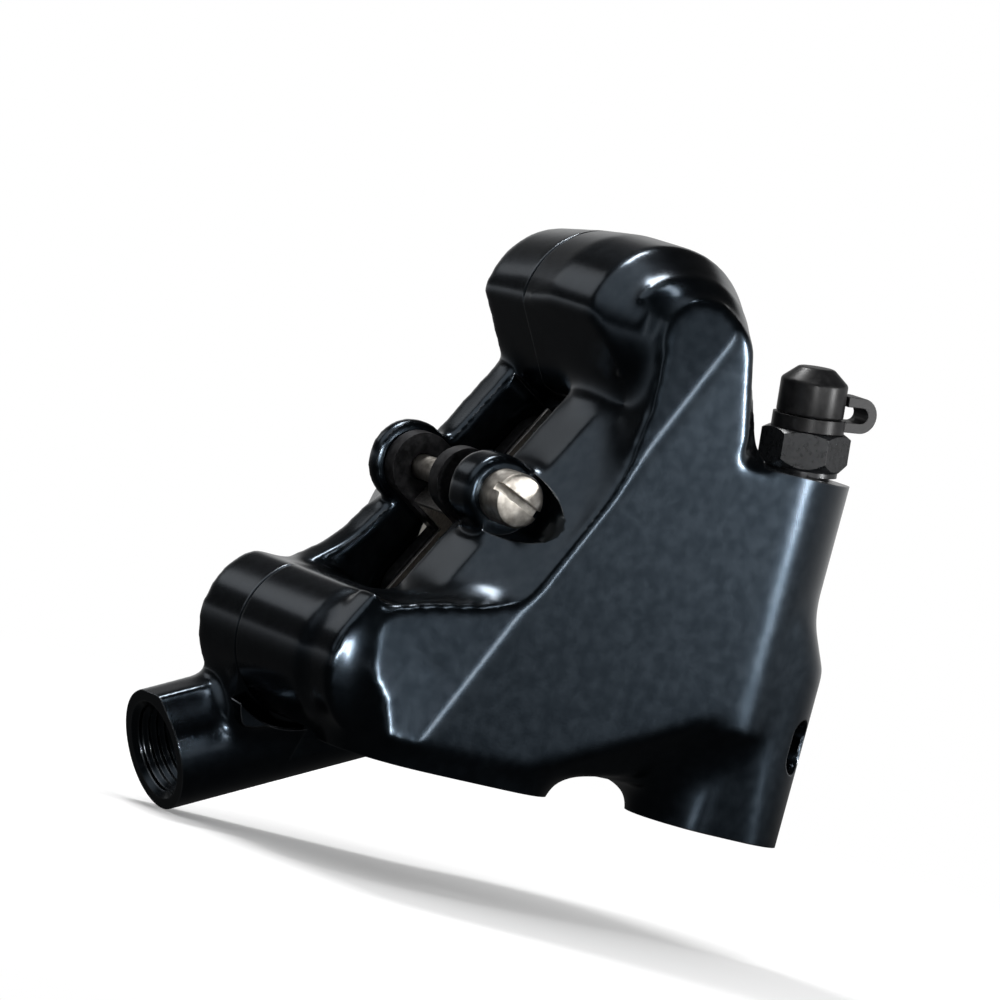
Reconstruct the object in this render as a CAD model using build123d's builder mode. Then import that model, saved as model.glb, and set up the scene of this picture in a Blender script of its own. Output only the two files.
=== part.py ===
from build123d import *
import os
from math import cos, radians, sin

os.makedirs("parts", exist_ok=True)

# A two-piece hydraulic disc brake caliper for a flat-mount bicycle frame.
# All sizes are millimetres.
# X runs along the mount face to the bicycle's rear, Y runs inboard and Z is up.
# The origin is the middle of the two mounting holes, on the mount face.

# Driving dimensions: the mount
mount_pitch = 34.0
mount_thread_r = 2.1
mount_thread_depth = 9.5
front_foot_r = 6.3
front_foot_reach = 8.7
rear_foot_r = 5.7
rear_foot_reach = 3.3
rear_foot_toe_r = 5.4
rear_foot_height = 16.3
rear_foot_taper = 4.2
foot_height = 9.0
foot_window_width = 2.7
foot_window_height = 4.6
foot_window_z = 9.3
foot_window_turn = 52.0

# Driving dimensions: the rotor that runs in the slot
rotor_y = 13.0
rotor_r = 70.0
rotor_half_thickness = 0.9
rotor_gap = 1.0
rotor_half_slot = 3.0
hub_drop = 73.0

# Driving dimensions: the line of the two body bolts, which the caliper is laid out on
line_mid_x = -10.65
line_mid_z = 24.35
line_angle = 59.7
body_bolt_pitch = 39.0
body_bolt_r = 2.5
body_bolt_gap = 0.15
body_bolt_length = 14.4
bolt_head_r = 4.5
bolt_head_height = 4.0
bolt_head_gap = 0.3
bolt_socket_flats = 4.0
bolt_socket_depth = 2.4
thread_gap = 0.05
drill_run_out = 1.0

# Driving dimensions: the planes across the caliper
face_y = -7.0
face_depth = 4.0
parting_y = 14.25
rail_crest_y = 0.0
inner_wall_y = 22.0
inner_back_y = 28.6
inner_back_margin = 0.4

# Driving dimensions: the bosses round the body bolts
upper_hump_offset = 0.6
upper_hump_r = 7.8
upper_hump_swell_r = 8.3
upper_hump_swell_start_y = 9.0
upper_hump_swell_end_y = 2.0
upper_hump_brow_r = 7.0
upper_hump_brow_y = -2.5
upper_hump_back_r = 7.3
upper_tip_r = 4.7
lower_hump_r = 7.2
lower_hump_shoulder_y = -1.5
lower_tip_r = 5.2
lower_tip_depth = 1.5
hump_web_r = 6.8
edge_break = 0.5

# Driving dimensions: the outer half's face, as places (X, Z) seen from outboard
block_outline_left = ((-6.0, 26.0), (-22.0, 7.5), (-22.0, 2.6))
face_outline_top = ((3.6, 42.2), (-5.7, 42.2), (-5.5, 27.0), (-11.7, 17.2))
face_outline_left = ((-23.6, 13.6), (-25.4, 8.0), (-21.8, 1.8))
face_outline_foot = ((-4.3, 1.9), (11.7, 4.5))
face_neck_x = 5.8
block_rear_x = 19.2
block_top_drop = 4.0
face_ridge_foot_x = -19.0
face_ridge_foot_z = 1.6
face_ridge_angle = 63.5
face_facet_slope = 19.0
skirt_start_x = -4.3
skirt_start_z = 3.6
skirt_angle = 25.0
skirt_drop = 5.5
skirt_run_out = 14.0
skirt_length = 50.0

# Driving dimensions: the pad pocket and the window over it
pocket_to_bolt = 7.5
rail_top = 0.5
valley_floor = -3.4

# Driving dimensions: pistons, their bores and seals
piston_r = 11.0
piston_to_line = 2.5
piston_length = 7.6
piston_cup_r = 8.0
piston_cup_depth = 6.0
piston_pad_gap = 0.02
bore_gap = 0.04
bore_wall = 3.0
bore_depth = 8.4
seal_setback = 1.4
seal_width = 2.0
seal_depth = 1.1
seal_slack = 0.03

# Driving dimensions: pads
plate_thickness = 1.6
friction_thickness = 2.0
pad_running_gap = 0.5
pad_side_gap = 0.3
pad_back_gap = 0.25
pad_top = -3.4
pad_height = 21.6
pad_corner_r = 3.0
pad_tab_r = 3.1
friction_inset = 1.4
friction_top_inset = 1.3
friction_foot_inset = 1.6
friction_corner_r = 2.0
dust_slot_width = 1.0
dust_slot_depth = 1.2

# Driving dimensions: the pad spring
spring_thickness = 0.4
spring_tongue_half = 2.8
spring_bridge_top = 0.2
spring_arm_width = 1.0
spring_arm_length = 11.0
spring_gap = 0.03
spring_inset = 0.1

# Driving dimensions: the pad axle and its clip
axle_along = -0.5
axle_up = 1.7
axle_r = 1.15
axle_gap = 0.06
axle_pad_gap = 0.1
axle_thread_r = 1.95
axle_thread_length = 3.2
axle_head_r = 2.45
axle_head_length = 3.2
axle_head_proud = 0.5
axle_slot_width = 0.8
axle_slot_depth = 1.1
axle_slot_angle = -21.0
axle_end_proud = 2.0
ear_r = 4.3
ear_face_y = -1.5
ear_recess_r = 3.6
inner_ear_r = 3.9
inner_ear_y = 20.2
clip_r = 2.3
clip_thickness = 0.5
clip_groove_depth = 0.25
clip_setback = 0.15
clip_opening = 1.2
clip_gap = 0.03
clip_relief = 0.4

# Driving dimensions: the hose port
port_x = -29.0
port_y = 20.8
port_z = -5.7
port_angle = 25.0
port_outer_r = 5.5
port_length = 27.0
port_thread_r = 4.0
port_thread_depth = 12.0
port_seat_r = 2.8
port_seat_depth = 15.0
port_shoulder_out = 3.1
port_shoulder_in = 1.2
port_shoulder_length = 9.0
port_web_left = 6.9
port_web_right = 7.0
port_web_drop = 9.0
port_web_draft = 2.8

# Driving dimensions: fluid passages and the ring that seals them at the parting plane
passage_r = 0.7
cross_passage_r = 0.6
passage_lap = 0.5
transfer_entry = (-7.5, 5.2)
nipple_entry = (6.0, -6.0)
port_entry = (-3.0, -8.0)
rib_entry = (-8.8, 5.4)
transfer_to_bolt = 5.0
transfer_up = -0.3
ring_groove_r = 1.95
ring_groove_depth = 0.7
ring_wire_r = 0.33
ring_mid_r = 1.45
rib_r = 1.9

# Driving dimensions: the bleed boss, nipple, cap and strap
boss_arc_r = 9.5
boss_front_x = 8.8
boss_rear_x = 20.6
boss_back_y = 5.2
boss_top = 33.0
boss_waist_x = 14.7
boss_waist_y = -0.9
boss_waist_r = 5.4
nipple_x = 15.9
nipple_lean = 7.0
nipple_thread_r = 2.95
nipple_thread_length = 8.0
nipple_tip_length = 1.6
nipple_tip_r = 1.2
nipple_seat_gap = 0.1
nipple_drill_on = 2.0
nipple_hex_flats = 7.0
nipple_hex_turn = 30.0
nipple_collar_r = 3.3
nipple_collar_height = 0.4
nipple_hex_height = 3.5
nipple_lift = 0.1
nipple_spot_r = 4.4
nipple_neck_r = 2.0
nipple_neck_height = 4.2
nipple_bore_r = 0.8
nipple_cross_r = 0.6
nipple_chamfer = 0.5
cap_r = 3.05
cap_height = 4.3
cap_top_r = 1.6
cap_cone_height = 1.25
cap_crown = 1.3
cap_gap = 0.06
strap_ring_r = 3.3
strap_ring_height = 1.3
strap_thickness = 0.9
strap_width = 2.6
strap_reach = 4.6
strap_loop_r = 1.15
strap_lap = 0.4

# Places worked out from the driving dimensions
along_x = cos(radians(line_angle))
along_z = sin(radians(line_angle))
face_back_y = face_y + face_depth
boss_arc_x = face_outline_foot[-1][0]
boss_arc_y = face_y + boss_arc_r
friction_face = rotor_half_thickness + pad_running_gap
plate_face = friction_face + friction_thickness
plate_back = plate_face + plate_thickness
pocket_half_depth = plate_back + pad_back_gap
pocket_outer_y = rotor_y - pocket_half_depth
pocket_inner_y = rotor_y + pocket_half_depth
pocket_half_width = body_bolt_pitch / 2 - pocket_to_bolt
slot_outer_y = rotor_y - rotor_half_slot
slot_inner_y = rotor_y + rotor_half_slot
bore_r = piston_r + bore_gap
groove_r = piston_r + seal_depth
boss_side_r = piston_r + bore_wall
inner_back_r = piston_r + inner_back_margin
outer_chamber_y = pocket_outer_y - bore_depth + passage_r
inner_chamber_y = pocket_inner_y + bore_depth - passage_r
bolt_seat_y = inner_wall_y - bolt_head_height
bolt_tip_y = bolt_seat_y - body_bolt_length
pad_half_width = pocket_half_width - pad_side_gap
pad_foot = pad_top - pad_height
piston_drop = piston_r + piston_to_line
piston_face = plate_back + piston_pad_gap
axle_point = (axle_along, axle_up)
upper_bolt = (body_bolt_pitch / 2, 0)
upper_hump = (body_bolt_pitch / 2 + upper_hump_offset, 0)
lower_bolt = (-body_bolt_pitch / 2, 0)
transfer_point = (transfer_to_bolt - body_bolt_pitch / 2, transfer_up)
piston_point = (0, -piston_drop)
hub_point = (0, -hub_drop)
axle_head_y = ear_face_y - axle_head_proud
axle_seat_y = axle_head_y + axle_head_length
axle_shank_y = axle_seat_y + axle_thread_length
axle_end_y = inner_ear_y + axle_end_proud
clip_y = inner_ear_y + clip_setback
nipple_reach = nipple_thread_length + nipple_tip_length
hex_base = nipple_lift + nipple_collar_height
hex_top = hex_base + nipple_hex_height
neck_top = hex_top + nipple_neck_height
ring_top = hex_top + strap_ring_height
cap_base = ring_top + cap_gap
cap_top = cap_base + cap_height


def across(y):
    """A plane facing outboard at y, whose own axes are the frame's X and Z."""
    return Plane.XZ.offset(-y)


def line_plane(y):
    """A plane facing outboard at y: its x runs up the bolt line, its y points away from the hub."""
    return Plane(origin=(line_mid_x, y, line_mid_z), x_dir=(along_x, 0, along_z), z_dir=(0, -1, 0))


def place(along, up, y):
    """A point given in the bolt line's own axes, in the frame."""
    return Vector(line_mid_x + along * along_x - up * along_z, y, line_mid_z + along * along_z + up * along_x)


def chamber_place(entry, y):
    """A point given from the piston's centre, in the bolt line's own axes."""
    return place(entry[0], entry[1] - piston_drop, y)


def drill(start, end, radius):
    """A straight round rod from start to end, kept apart until it is cut or joined."""
    return Solid.make_cylinder(radius, (end - start).length, Plane(origin=start, z_dir=end - start))


# The hose port's axis starts at its mouth and climbs towards the caliper
port_run = Vector(cos(radians(port_angle)), 0, sin(radians(port_angle)))
port_mouth = Vector(port_x, port_y, port_z)
port_plane = Plane(origin=port_mouth, x_dir=(0, 1, 0), z_dir=port_run)

# The nipple leans forward on the bleed boss
nipple_base = Vector(nipple_x, 0, boss_top)
nipple_run = Vector(-sin(radians(nipple_lean)), 0, cos(radians(nipple_lean)))
nipple_axis = Axis(nipple_base, nipple_run)
nipple_side = Plane(origin=nipple_base, x_dir=(cos(radians(nipple_lean)), 0, sin(radians(nipple_lean))),
                    z_dir=(0, -1, 0))

# Outer half: the casting on the outboard side, which also carries both mounting feet
with BuildPart() as outer_half:
    # The block between the two humps, round the outer piston
    with BuildSketch(line_plane(pocket_outer_y)):
        with Locations(upper_bolt, lower_bolt):
            Circle(hump_web_r)
        with Locations(piston_point):
            Circle(boss_side_r)
        make_hull()
    extrude(amount=pocket_outer_y - face_back_y)
    # The lower block down to the mount face
    with BuildSketch(across(pocket_outer_y)):
        with BuildLine():
            Polyline((block_rear_x, block_outline_left[-1][1]), (block_rear_x, boss_top - block_top_drop),
                     (face_neck_x, boss_top), *block_outline_left, close=True)
        make_face()
    extrude(amount=pocket_outer_y - face_back_y)
    # The window side: a rail beside the pocket, then a valley that falls to the face
    with BuildSketch(Plane(origin=place(-body_bolt_pitch / 2, 0, 0), x_dir=(0, 1, 0),
                           z_dir=(along_x, 0, along_z))):
        with BuildLine():
            Polyline((2 * face_y, valley_floor), (face_back_y, valley_floor), (rail_crest_y, rail_top),
                     (inner_wall_y, rail_top), (inner_wall_y, inner_wall_y), (2 * face_y, inner_wall_y),
                     close=True)
        make_face()
    extrude(amount=body_bolt_pitch, mode=Mode.SUBTRACT)
    # Upper hump: it swells from the parting plane, runs straight and closes down to the face
    hump_rings = ((upper_hump, parting_y, upper_hump_r),
                  (upper_hump, upper_hump_swell_start_y, upper_hump_swell_r),
                  (upper_hump, upper_hump_swell_end_y, upper_hump_swell_r),
                  (upper_hump, upper_hump_brow_y, upper_hump_brow_r),
                  (upper_bolt, face_y, upper_tip_r))
    for start, end in zip(hump_rings, hump_rings[1:]):
        for point, y, radius in (start, end):
            with BuildSketch(line_plane(y)):
                with Locations(point):
                    Circle(radius)
        loft()
    # Lower hump: straight, then it closes down behind the face
    with BuildSketch(line_plane(parting_y)):
        with Locations(lower_bolt):
            Circle(lower_hump_r)
    extrude(amount=parting_y - lower_hump_shoulder_y)
    with BuildSketch(line_plane(lower_hump_shoulder_y)):
        with Locations(lower_bolt):
            Circle(lower_hump_r)
    with BuildSketch(line_plane(face_y + lower_tip_depth)):
        with Locations(lower_bolt):
            Circle(lower_tip_r)
    loft()
    # The wide near face, as it is seen from outboard
    with BuildSketch(across(face_back_y)):
        with BuildLine():
            Polyline(*face_outline_top, *face_outline_left, *face_outline_foot,
                     (boss_arc_x, boss_top), (face_neck_x, boss_top), close=True)
        make_face()
    extrude(amount=face_depth)
    # Below the face the block falls back towards the feet
    skirt_x = cos(radians(skirt_angle))
    skirt_z = sin(radians(skirt_angle))
    skirt_left = Vector(skirt_start_x, 0, skirt_start_z) - Vector(skirt_x, 0, skirt_z) * skirt_run_out
    with BuildSketch(Plane(origin=skirt_left, x_dir=(0, 1, 0), z_dir=(skirt_x, 0, skirt_z))):
        with BuildLine():
            Polyline((face_y, 0), (2 * face_y, 0), (2 * face_y, -2 * skirt_drop),
                     (face_back_y, -2 * skirt_drop), (face_back_y, -skirt_drop), close=True)
        make_face()
    extrude(amount=skirt_length, mode=Mode.SUBTRACT)
    # Bleed boss and the column below it: the flat face turns into it in one wide arc
    with BuildSketch(Plane.XY.offset(foot_height)):
        with Locations((boss_arc_x, boss_arc_y)):
            Circle(boss_arc_r)
        with Locations(((boss_front_x + boss_rear_x) / 2, (face_y + boss_back_y) / 2)):
            Rectangle(boss_rear_x - boss_front_x, boss_back_y - face_y, mode=Mode.INTERSECT)
    extrude(amount=boss_top - foot_height)
    # Feet on the mount face
    with BuildSketch(Plane.XY):
        with Locations((-mount_pitch / 2, 0), (-mount_pitch / 2 + front_foot_reach, 0)):
            Circle(front_foot_r)
        make_hull()
    extrude(amount=foot_height)
    with BuildSketch(Plane.XY):
        with Locations((mount_pitch / 2, 0)):
            Circle(rear_foot_r)
        with Locations((mount_pitch / 2 - rear_foot_reach, 0)):
            Circle(rear_foot_toe_r)
        make_hull()
    extrude(amount=rear_foot_height)
    with BuildSketch(Plane.XY.offset(rear_foot_height)):
        with Locations((mount_pitch / 2, 0)):
            Circle(rear_foot_r)
    with BuildSketch(Plane.XY.offset(rear_foot_height + rear_foot_taper)):
        with Locations((boss_waist_x, boss_waist_y)):
            Circle(boss_waist_r)
    loft()
    # Ear for the pad axle
    with BuildSketch(line_plane(pocket_outer_y)):
        with Locations(axle_point):
            Circle(ear_r)
    extrude(amount=pocket_outer_y - ear_face_y)
    # The face leans back on the window side of its ridge
    ridge_x = cos(radians(face_ridge_angle))
    ridge_z = sin(radians(face_ridge_angle))
    lean_in = sin(radians(face_facet_slope))
    lean_out = cos(radians(face_facet_slope))
    with BuildSketch(Plane(origin=(face_ridge_foot_x, face_y, face_ridge_foot_z), x_dir=(ridge_x, 0, ridge_z),
                           z_dir=(-ridge_z * lean_in, -lean_out, ridge_x * lean_in))):
        Rectangle(4 * body_bolt_pitch, 4 * body_bolt_pitch)
    extrude(amount=body_bolt_pitch, mode=Mode.SUBTRACT)
    # Slot for the rotor and pocket for the pads
    with BuildSketch(line_plane(slot_inner_y)):
        with Locations(hub_point):
            Circle(rotor_r + rotor_gap)
    extrude(amount=slot_inner_y - slot_outer_y, mode=Mode.SUBTRACT)
    # Bore for the outer piston, with the groove of its seal
    with BuildSketch(line_plane(pocket_outer_y)):
        with Locations(piston_point):
            Circle(bore_r)
    extrude(amount=bore_depth, mode=Mode.SUBTRACT)
    with BuildSketch(line_plane(pocket_outer_y - seal_setback)):
        with Locations(piston_point):
            Circle(groove_r)
    extrude(amount=seal_width, mode=Mode.SUBTRACT)
    # Tapped holes of the two body bolts
    with BuildSketch(line_plane(parting_y)):
        with Locations(upper_bolt, lower_bolt):
            Circle(body_bolt_r + thread_gap)
    extrude(amount=parting_y - bolt_tip_y + drill_run_out, mode=Mode.SUBTRACT)
    # Fluid crosses the parting plane here, inside its own ring groove
    with BuildSketch(line_plane(parting_y)):
        with Locations(transfer_point):
            Circle(ring_groove_r)
    extrude(amount=ring_groove_depth, mode=Mode.SUBTRACT)
    add(drill(place(*transfer_point, parting_y),
              place(*transfer_point, outer_chamber_y - passage_r), passage_r), mode=Mode.SUBTRACT)
    add(drill(place(*transfer_point, outer_chamber_y),
              chamber_place(transfer_entry, outer_chamber_y), cross_passage_r), mode=Mode.SUBTRACT)
    # Tapped holes in the feet, with the sight window of the rear one
    with BuildSketch(Plane.XY):
        with Locations((-mount_pitch / 2, 0), (mount_pitch / 2, 0)):
            Circle(mount_thread_r)
    extrude(amount=mount_thread_depth, mode=Mode.SUBTRACT)
    with BuildSketch(Plane(origin=(mount_pitch / 2, 0, foot_window_z),
                           x_dir=(sin(radians(foot_window_turn)), cos(radians(foot_window_turn)), 0),
                           z_dir=(cos(radians(foot_window_turn)), -sin(radians(foot_window_turn)), 0))):
        SlotOverall(foot_window_height, foot_window_width, rotation=90)
    extrude(amount=2 * rear_foot_r, mode=Mode.SUBTRACT)
    # Threaded seat of the bleed nipple, spot-faced square to it, and its passage to the piston
    with BuildSketch(nipple_side):
        with BuildLine():
            Polyline((0, nipple_thread_r), (nipple_spot_r, nipple_thread_r), (nipple_spot_r, 0),
                     (nipple_thread_r + thread_gap, 0),
                     (nipple_thread_r + thread_gap, -nipple_thread_length - nipple_seat_gap),
                     (nipple_tip_r + thread_gap, -nipple_reach - nipple_seat_gap),
                     (passage_r, -nipple_reach - nipple_seat_gap),
                     (passage_r, -nipple_reach - nipple_drill_on),
                     (0, -nipple_reach - nipple_drill_on), close=True)
        make_face()
    revolve(axis=nipple_axis, mode=Mode.SUBTRACT)
    add(drill(nipple_base - nipple_run * (nipple_reach + nipple_drill_on - passage_r),
              chamber_place(nipple_entry, outer_chamber_y), cross_passage_r), mode=Mode.SUBTRACT)
    # The pad axle's hole: a recess for its head, a thread and a plain bore
    with BuildSketch(line_plane(axle_seat_y)):
        with Locations(axle_point):
            Circle(ear_recess_r)
    extrude(amount=axle_seat_y - 2 * face_y, mode=Mode.SUBTRACT)
    with BuildSketch(line_plane(axle_shank_y)):
        with Locations(axle_point):
            Circle(axle_thread_r + thread_gap)
    extrude(amount=axle_thread_length, mode=Mode.SUBTRACT)
    with BuildSketch(line_plane(pocket_outer_y)):
        with Locations(axle_point):
            Circle(axle_r + axle_gap)
    extrude(amount=pocket_outer_y - axle_shank_y, mode=Mode.SUBTRACT)

# Inner half: the casting on the wheel side, with the hose port
with BuildPart() as inner_half:
    # The wall beside the pad pocket
    with BuildSketch(line_plane(inner_wall_y)):
        with Locations(upper_bolt, lower_bolt):
            Circle(hump_web_r)
        with Locations(piston_point):
            Circle(boss_side_r)
        make_hull()
    extrude(amount=inner_wall_y - pocket_inner_y)
    with BuildSketch(line_plane(inner_wall_y)):
        with Locations((0, rail_top + inner_wall_y / 2)):
            Rectangle(body_bolt_pitch, inner_wall_y)
    extrude(amount=inner_wall_y - pocket_inner_y, mode=Mode.SUBTRACT)
    # Bosses of the two body bolts
    with BuildSketch(line_plane(inner_wall_y)):
        with Locations(lower_bolt):
            Circle(lower_hump_r)
    extrude(amount=inner_wall_y - parting_y)
    with BuildSketch(line_plane(inner_wall_y)):
        with Locations(upper_bolt):
            Circle(upper_hump_back_r)
    with BuildSketch(line_plane(parting_y)):
        with Locations(upper_hump):
            Circle(upper_hump_r)
    loft()
    # Web from the lower boss down to the hose port
    lower_centre = place(-body_bolt_pitch / 2, 0, inner_wall_y)
    with BuildSketch(across(inner_wall_y)):
        with BuildLine():
            Polyline((lower_centre.X - port_web_left, lower_centre.Z),
                     (lower_centre.X - port_web_left + port_web_draft, lower_centre.Z - port_web_drop),
                     (lower_centre.X + port_web_right, lower_centre.Z - port_web_drop / 2),
                     (lower_centre.X + port_web_right, lower_centre.Z), close=True)
        make_face()
    extrude(amount=inner_wall_y - parting_y)
    # Housing of the inner piston: its back narrows to a smaller face
    with BuildSketch(line_plane(inner_wall_y)):
        with Locations(piston_point):
            Circle(boss_side_r)
    with BuildSketch(line_plane(inner_back_y)):
        with Locations(piston_point):
            Circle(inner_back_r)
    loft()
    # Ear for the far end of the pad axle
    with BuildSketch(line_plane(inner_ear_y)):
        with Locations(axle_point):
            Circle(inner_ear_r)
    extrude(amount=inner_ear_y - pocket_inner_y)
    # Hose port with the shoulder on its top
    with BuildSketch(port_plane):
        Circle(port_outer_r)
    extrude(amount=port_length)
    with BuildSketch(port_plane):
        with Locations(((port_shoulder_in - port_shoulder_out) / 2, port_outer_r / 2)):
            Rectangle(port_shoulder_in + port_shoulder_out, port_outer_r)
    extrude(amount=port_shoulder_length)
    # Rib that holds the passage from the parting plane to the inner piston
    add(drill(place(*transfer_point, inner_wall_y - rib_r),
              chamber_place(rib_entry, inner_chamber_y), rib_r))
    # Slot for the rotor and pocket for the pads
    with BuildSketch(line_plane(slot_inner_y)):
        with Locations(hub_point):
            Circle(rotor_r + rotor_gap)
    extrude(amount=slot_inner_y - slot_outer_y, mode=Mode.SUBTRACT)
    with BuildSketch(line_plane(pocket_inner_y)):
        Rectangle(2 * pocket_half_width, 2 * body_bolt_pitch)
    extrude(amount=pocket_inner_y - pocket_outer_y, mode=Mode.SUBTRACT)
    # Bore for the inner piston, with the groove of its seal
    with BuildSketch(line_plane(pocket_inner_y + bore_depth)):
        with Locations(piston_point):
            Circle(bore_r)
    extrude(amount=bore_depth + pad_back_gap, mode=Mode.SUBTRACT)
    with BuildSketch(line_plane(pocket_inner_y + seal_setback + seal_width)):
        with Locations(piston_point):
            Circle(groove_r)
    extrude(amount=seal_width, mode=Mode.SUBTRACT)
    # Stepped holes of the two body bolts
    with BuildSketch(line_plane(inner_wall_y)):
        with Locations(upper_bolt, lower_bolt):
            Circle(bolt_head_r + bolt_head_gap)
    extrude(amount=bolt_head_height, mode=Mode.SUBTRACT)
    with BuildSketch(line_plane(bolt_seat_y)):
        with Locations(upper_bolt, lower_bolt):
            Circle(body_bolt_r + body_bolt_gap)
    extrude(amount=bolt_seat_y - parting_y, mode=Mode.SUBTRACT)
    # Passages: parting plane to piston, and hose port to piston
    add(drill(place(*transfer_point, parting_y),
              place(*transfer_point, inner_wall_y - rib_r), passage_r), mode=Mode.SUBTRACT)
    add(drill(place(*transfer_point, inner_wall_y - rib_r),
              chamber_place(transfer_entry, inner_chamber_y), cross_passage_r), mode=Mode.SUBTRACT)
    with BuildSketch(port_plane):
        Circle(port_thread_r)
    extrude(amount=port_thread_depth, mode=Mode.SUBTRACT)
    with BuildSketch(port_plane):
        Circle(port_seat_r)
    extrude(amount=port_seat_depth, mode=Mode.SUBTRACT)
    add(drill(port_mouth + port_run * (port_seat_depth - passage_lap),
              chamber_place(port_entry, inner_chamber_y), passage_r), mode=Mode.SUBTRACT)
    # The plain hole for the pad axle's far end
    with BuildSketch(line_plane(inner_wall_y)):
        with Locations(axle_point):
            Circle(axle_r + axle_gap)
    extrude(amount=inner_wall_y - pocket_inner_y, mode=Mode.SUBTRACT)
    with BuildSketch(line_plane(inner_back_y)):
        with Locations(axle_point):
            Circle(clip_r + clip_relief)
    extrude(amount=inner_back_y - inner_ear_y, mode=Mode.SUBTRACT)

halves = {"outer_half": outer_half, "inner_half": inner_half}
for name, half in halves.items():
    half.part.label = name
    export_step(half.part, f"parts/{name}.step")

# Body bolts, driven in from the wheel side
for name, point in (("body_bolt_upper", upper_bolt), ("body_bolt_lower", lower_bolt)):
    with BuildPart() as body_bolt:
        with BuildSketch(line_plane(inner_wall_y)):
            with Locations(point):
                Circle(bolt_head_r)
        extrude(amount=bolt_head_height)
        chamfer(body_bolt.edges().sort_by(Axis.Y)[-1], edge_break)
        with BuildSketch(line_plane(bolt_seat_y)):
            with Locations(point):
                Circle(body_bolt_r)
        extrude(amount=body_bolt_length)
        chamfer(body_bolt.edges().sort_by(Axis.Y)[0], edge_break)
        with BuildSketch(line_plane(inner_wall_y)):
            with Locations(point):
                RegularPolygon(bolt_socket_flats / 2, 6, major_radius=False)
        extrude(amount=bolt_socket_depth, mode=Mode.SUBTRACT)
    body_bolt.part.label = name
    export_step(body_bolt.part, f"parts/{name}.step")

# Ring that seals the fluid passage where the halves meet
with BuildPart() as transfer_seal:
    ring_centre = place(*transfer_point, parting_y - ring_groove_depth / 2)
    with BuildSketch(Plane(origin=ring_centre, x_dir=(1, 0, 0), z_dir=(0, 0, 1))):
        with Locations((ring_mid_r, 0)):
            Circle(ring_wire_r)
    revolve(axis=Axis(ring_centre, (0, 1, 0)))
transfer_seal.part.label = "transfer_seal"
export_step(transfer_seal.part, "parts/transfer_seal.step")

# What each side has: a piston, its seal, and a pad of backing plate and friction block
for side, way in (("outer", -1), ("inner", 1)):
    face = rotor_y + way * piston_face
    with BuildPart() as piston:
        with BuildSketch(line_plane(face)):
            with Locations(piston_point):
                Circle(piston_r)
        extrude(amount=-way * piston_length)
        chamfer(piston.edges(), edge_break / 2)
        with BuildSketch(line_plane(face)):
            with Locations(piston_point):
                Circle(piston_cup_r)
        extrude(amount=-way * piston_cup_depth, mode=Mode.SUBTRACT)
    piston.part.label = f"{side}_piston"
    export_step(piston.part, f"parts/{side}_piston.step")

    groove_y = rotor_y + way * (pocket_half_depth + seal_setback + seal_slack)
    with BuildPart() as seal:
        with BuildSketch(line_plane(groove_y)):
            with Locations(piston_point):
                Circle(groove_r - seal_slack)
                Circle(piston_r + seal_slack, mode=Mode.SUBTRACT)
        extrude(amount=-way * (seal_width - 2 * seal_slack))
    seal.part.label = f"{side}_piston_seal"
    export_step(seal.part, f"parts/{side}_piston_seal.step")

    with BuildPart() as pad_plate:
        with BuildSketch(line_plane(rotor_y + way * plate_face)):
            with Locations((0, (pad_top + pad_foot) / 2)):
                RectangleRounded(2 * pad_half_width, pad_height, pad_corner_r)
            with Locations(axle_point):
                Circle(pad_tab_r)
            with Locations((axle_along, (axle_up + pad_top) / 2 - pad_corner_r / 2)):
                Rectangle(2 * pad_tab_r, axle_up - pad_top + pad_corner_r)
            with Locations(axle_point):
                Circle(axle_r + axle_pad_gap, mode=Mode.SUBTRACT)
        extrude(amount=-way * plate_thickness)
    pad_plate.part.label = f"{side}_pad_plate"
    export_step(pad_plate.part, f"parts/{side}_pad_plate.step")

    with BuildPart() as pad_friction:
        with BuildSketch(line_plane(rotor_y + way * plate_face)):
            friction_height = pad_height - friction_top_inset - friction_foot_inset
            with Locations((0, pad_foot + friction_foot_inset + friction_height / 2)):
                RectangleRounded(2 * (pad_half_width - friction_inset), friction_height, friction_corner_r)
        extrude(amount=way * friction_thickness)
        with BuildSketch(line_plane(rotor_y + way * friction_face)):
            with Locations(piston_point):
                Rectangle(dust_slot_width, 2 * pad_height)
        extrude(amount=-way * dust_slot_depth, mode=Mode.SUBTRACT)
    pad_friction.part.label = f"{side}_pad_friction"
    export_step(pad_friction.part, f"parts/{side}_pad_friction.step")

# Pad spring: two sheets against the plates, with arms beside the friction, joined by a bridge
spring_leg_face = plate_face - spring_gap
spring_bar_foot = pad_top - friction_top_inset + spring_inset
with BuildPart() as pad_spring:
    for way in (-1, 1):
        with BuildSketch(line_plane(rotor_y + way * spring_leg_face)):
            with Locations((axle_along, (spring_bridge_top + spring_bar_foot) / 2)):
                Rectangle(2 * spring_tongue_half, spring_bridge_top - spring_bar_foot)
            with Locations((0, spring_bar_foot + spring_arm_width / 2)):
                Rectangle(2 * (pad_half_width - spring_inset), spring_arm_width)
            arm_along = pad_half_width - spring_inset - spring_arm_width / 2
            arm_up = spring_bar_foot + spring_arm_width - spring_arm_length / 2
            with Locations((arm_along, arm_up), (-arm_along, arm_up)):
                Rectangle(spring_arm_width, spring_arm_length)
        extrude(amount=way * spring_thickness)
    with BuildSketch(line_plane(rotor_y + spring_leg_face)):
        with Locations((axle_along, spring_bridge_top - spring_thickness / 2)):
            Rectangle(2 * spring_tongue_half, spring_thickness)
    extrude(amount=2 * spring_leg_face)
pad_spring.part.label = "pad_spring"
export_step(pad_spring.part, "parts/pad_spring.step")

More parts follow.
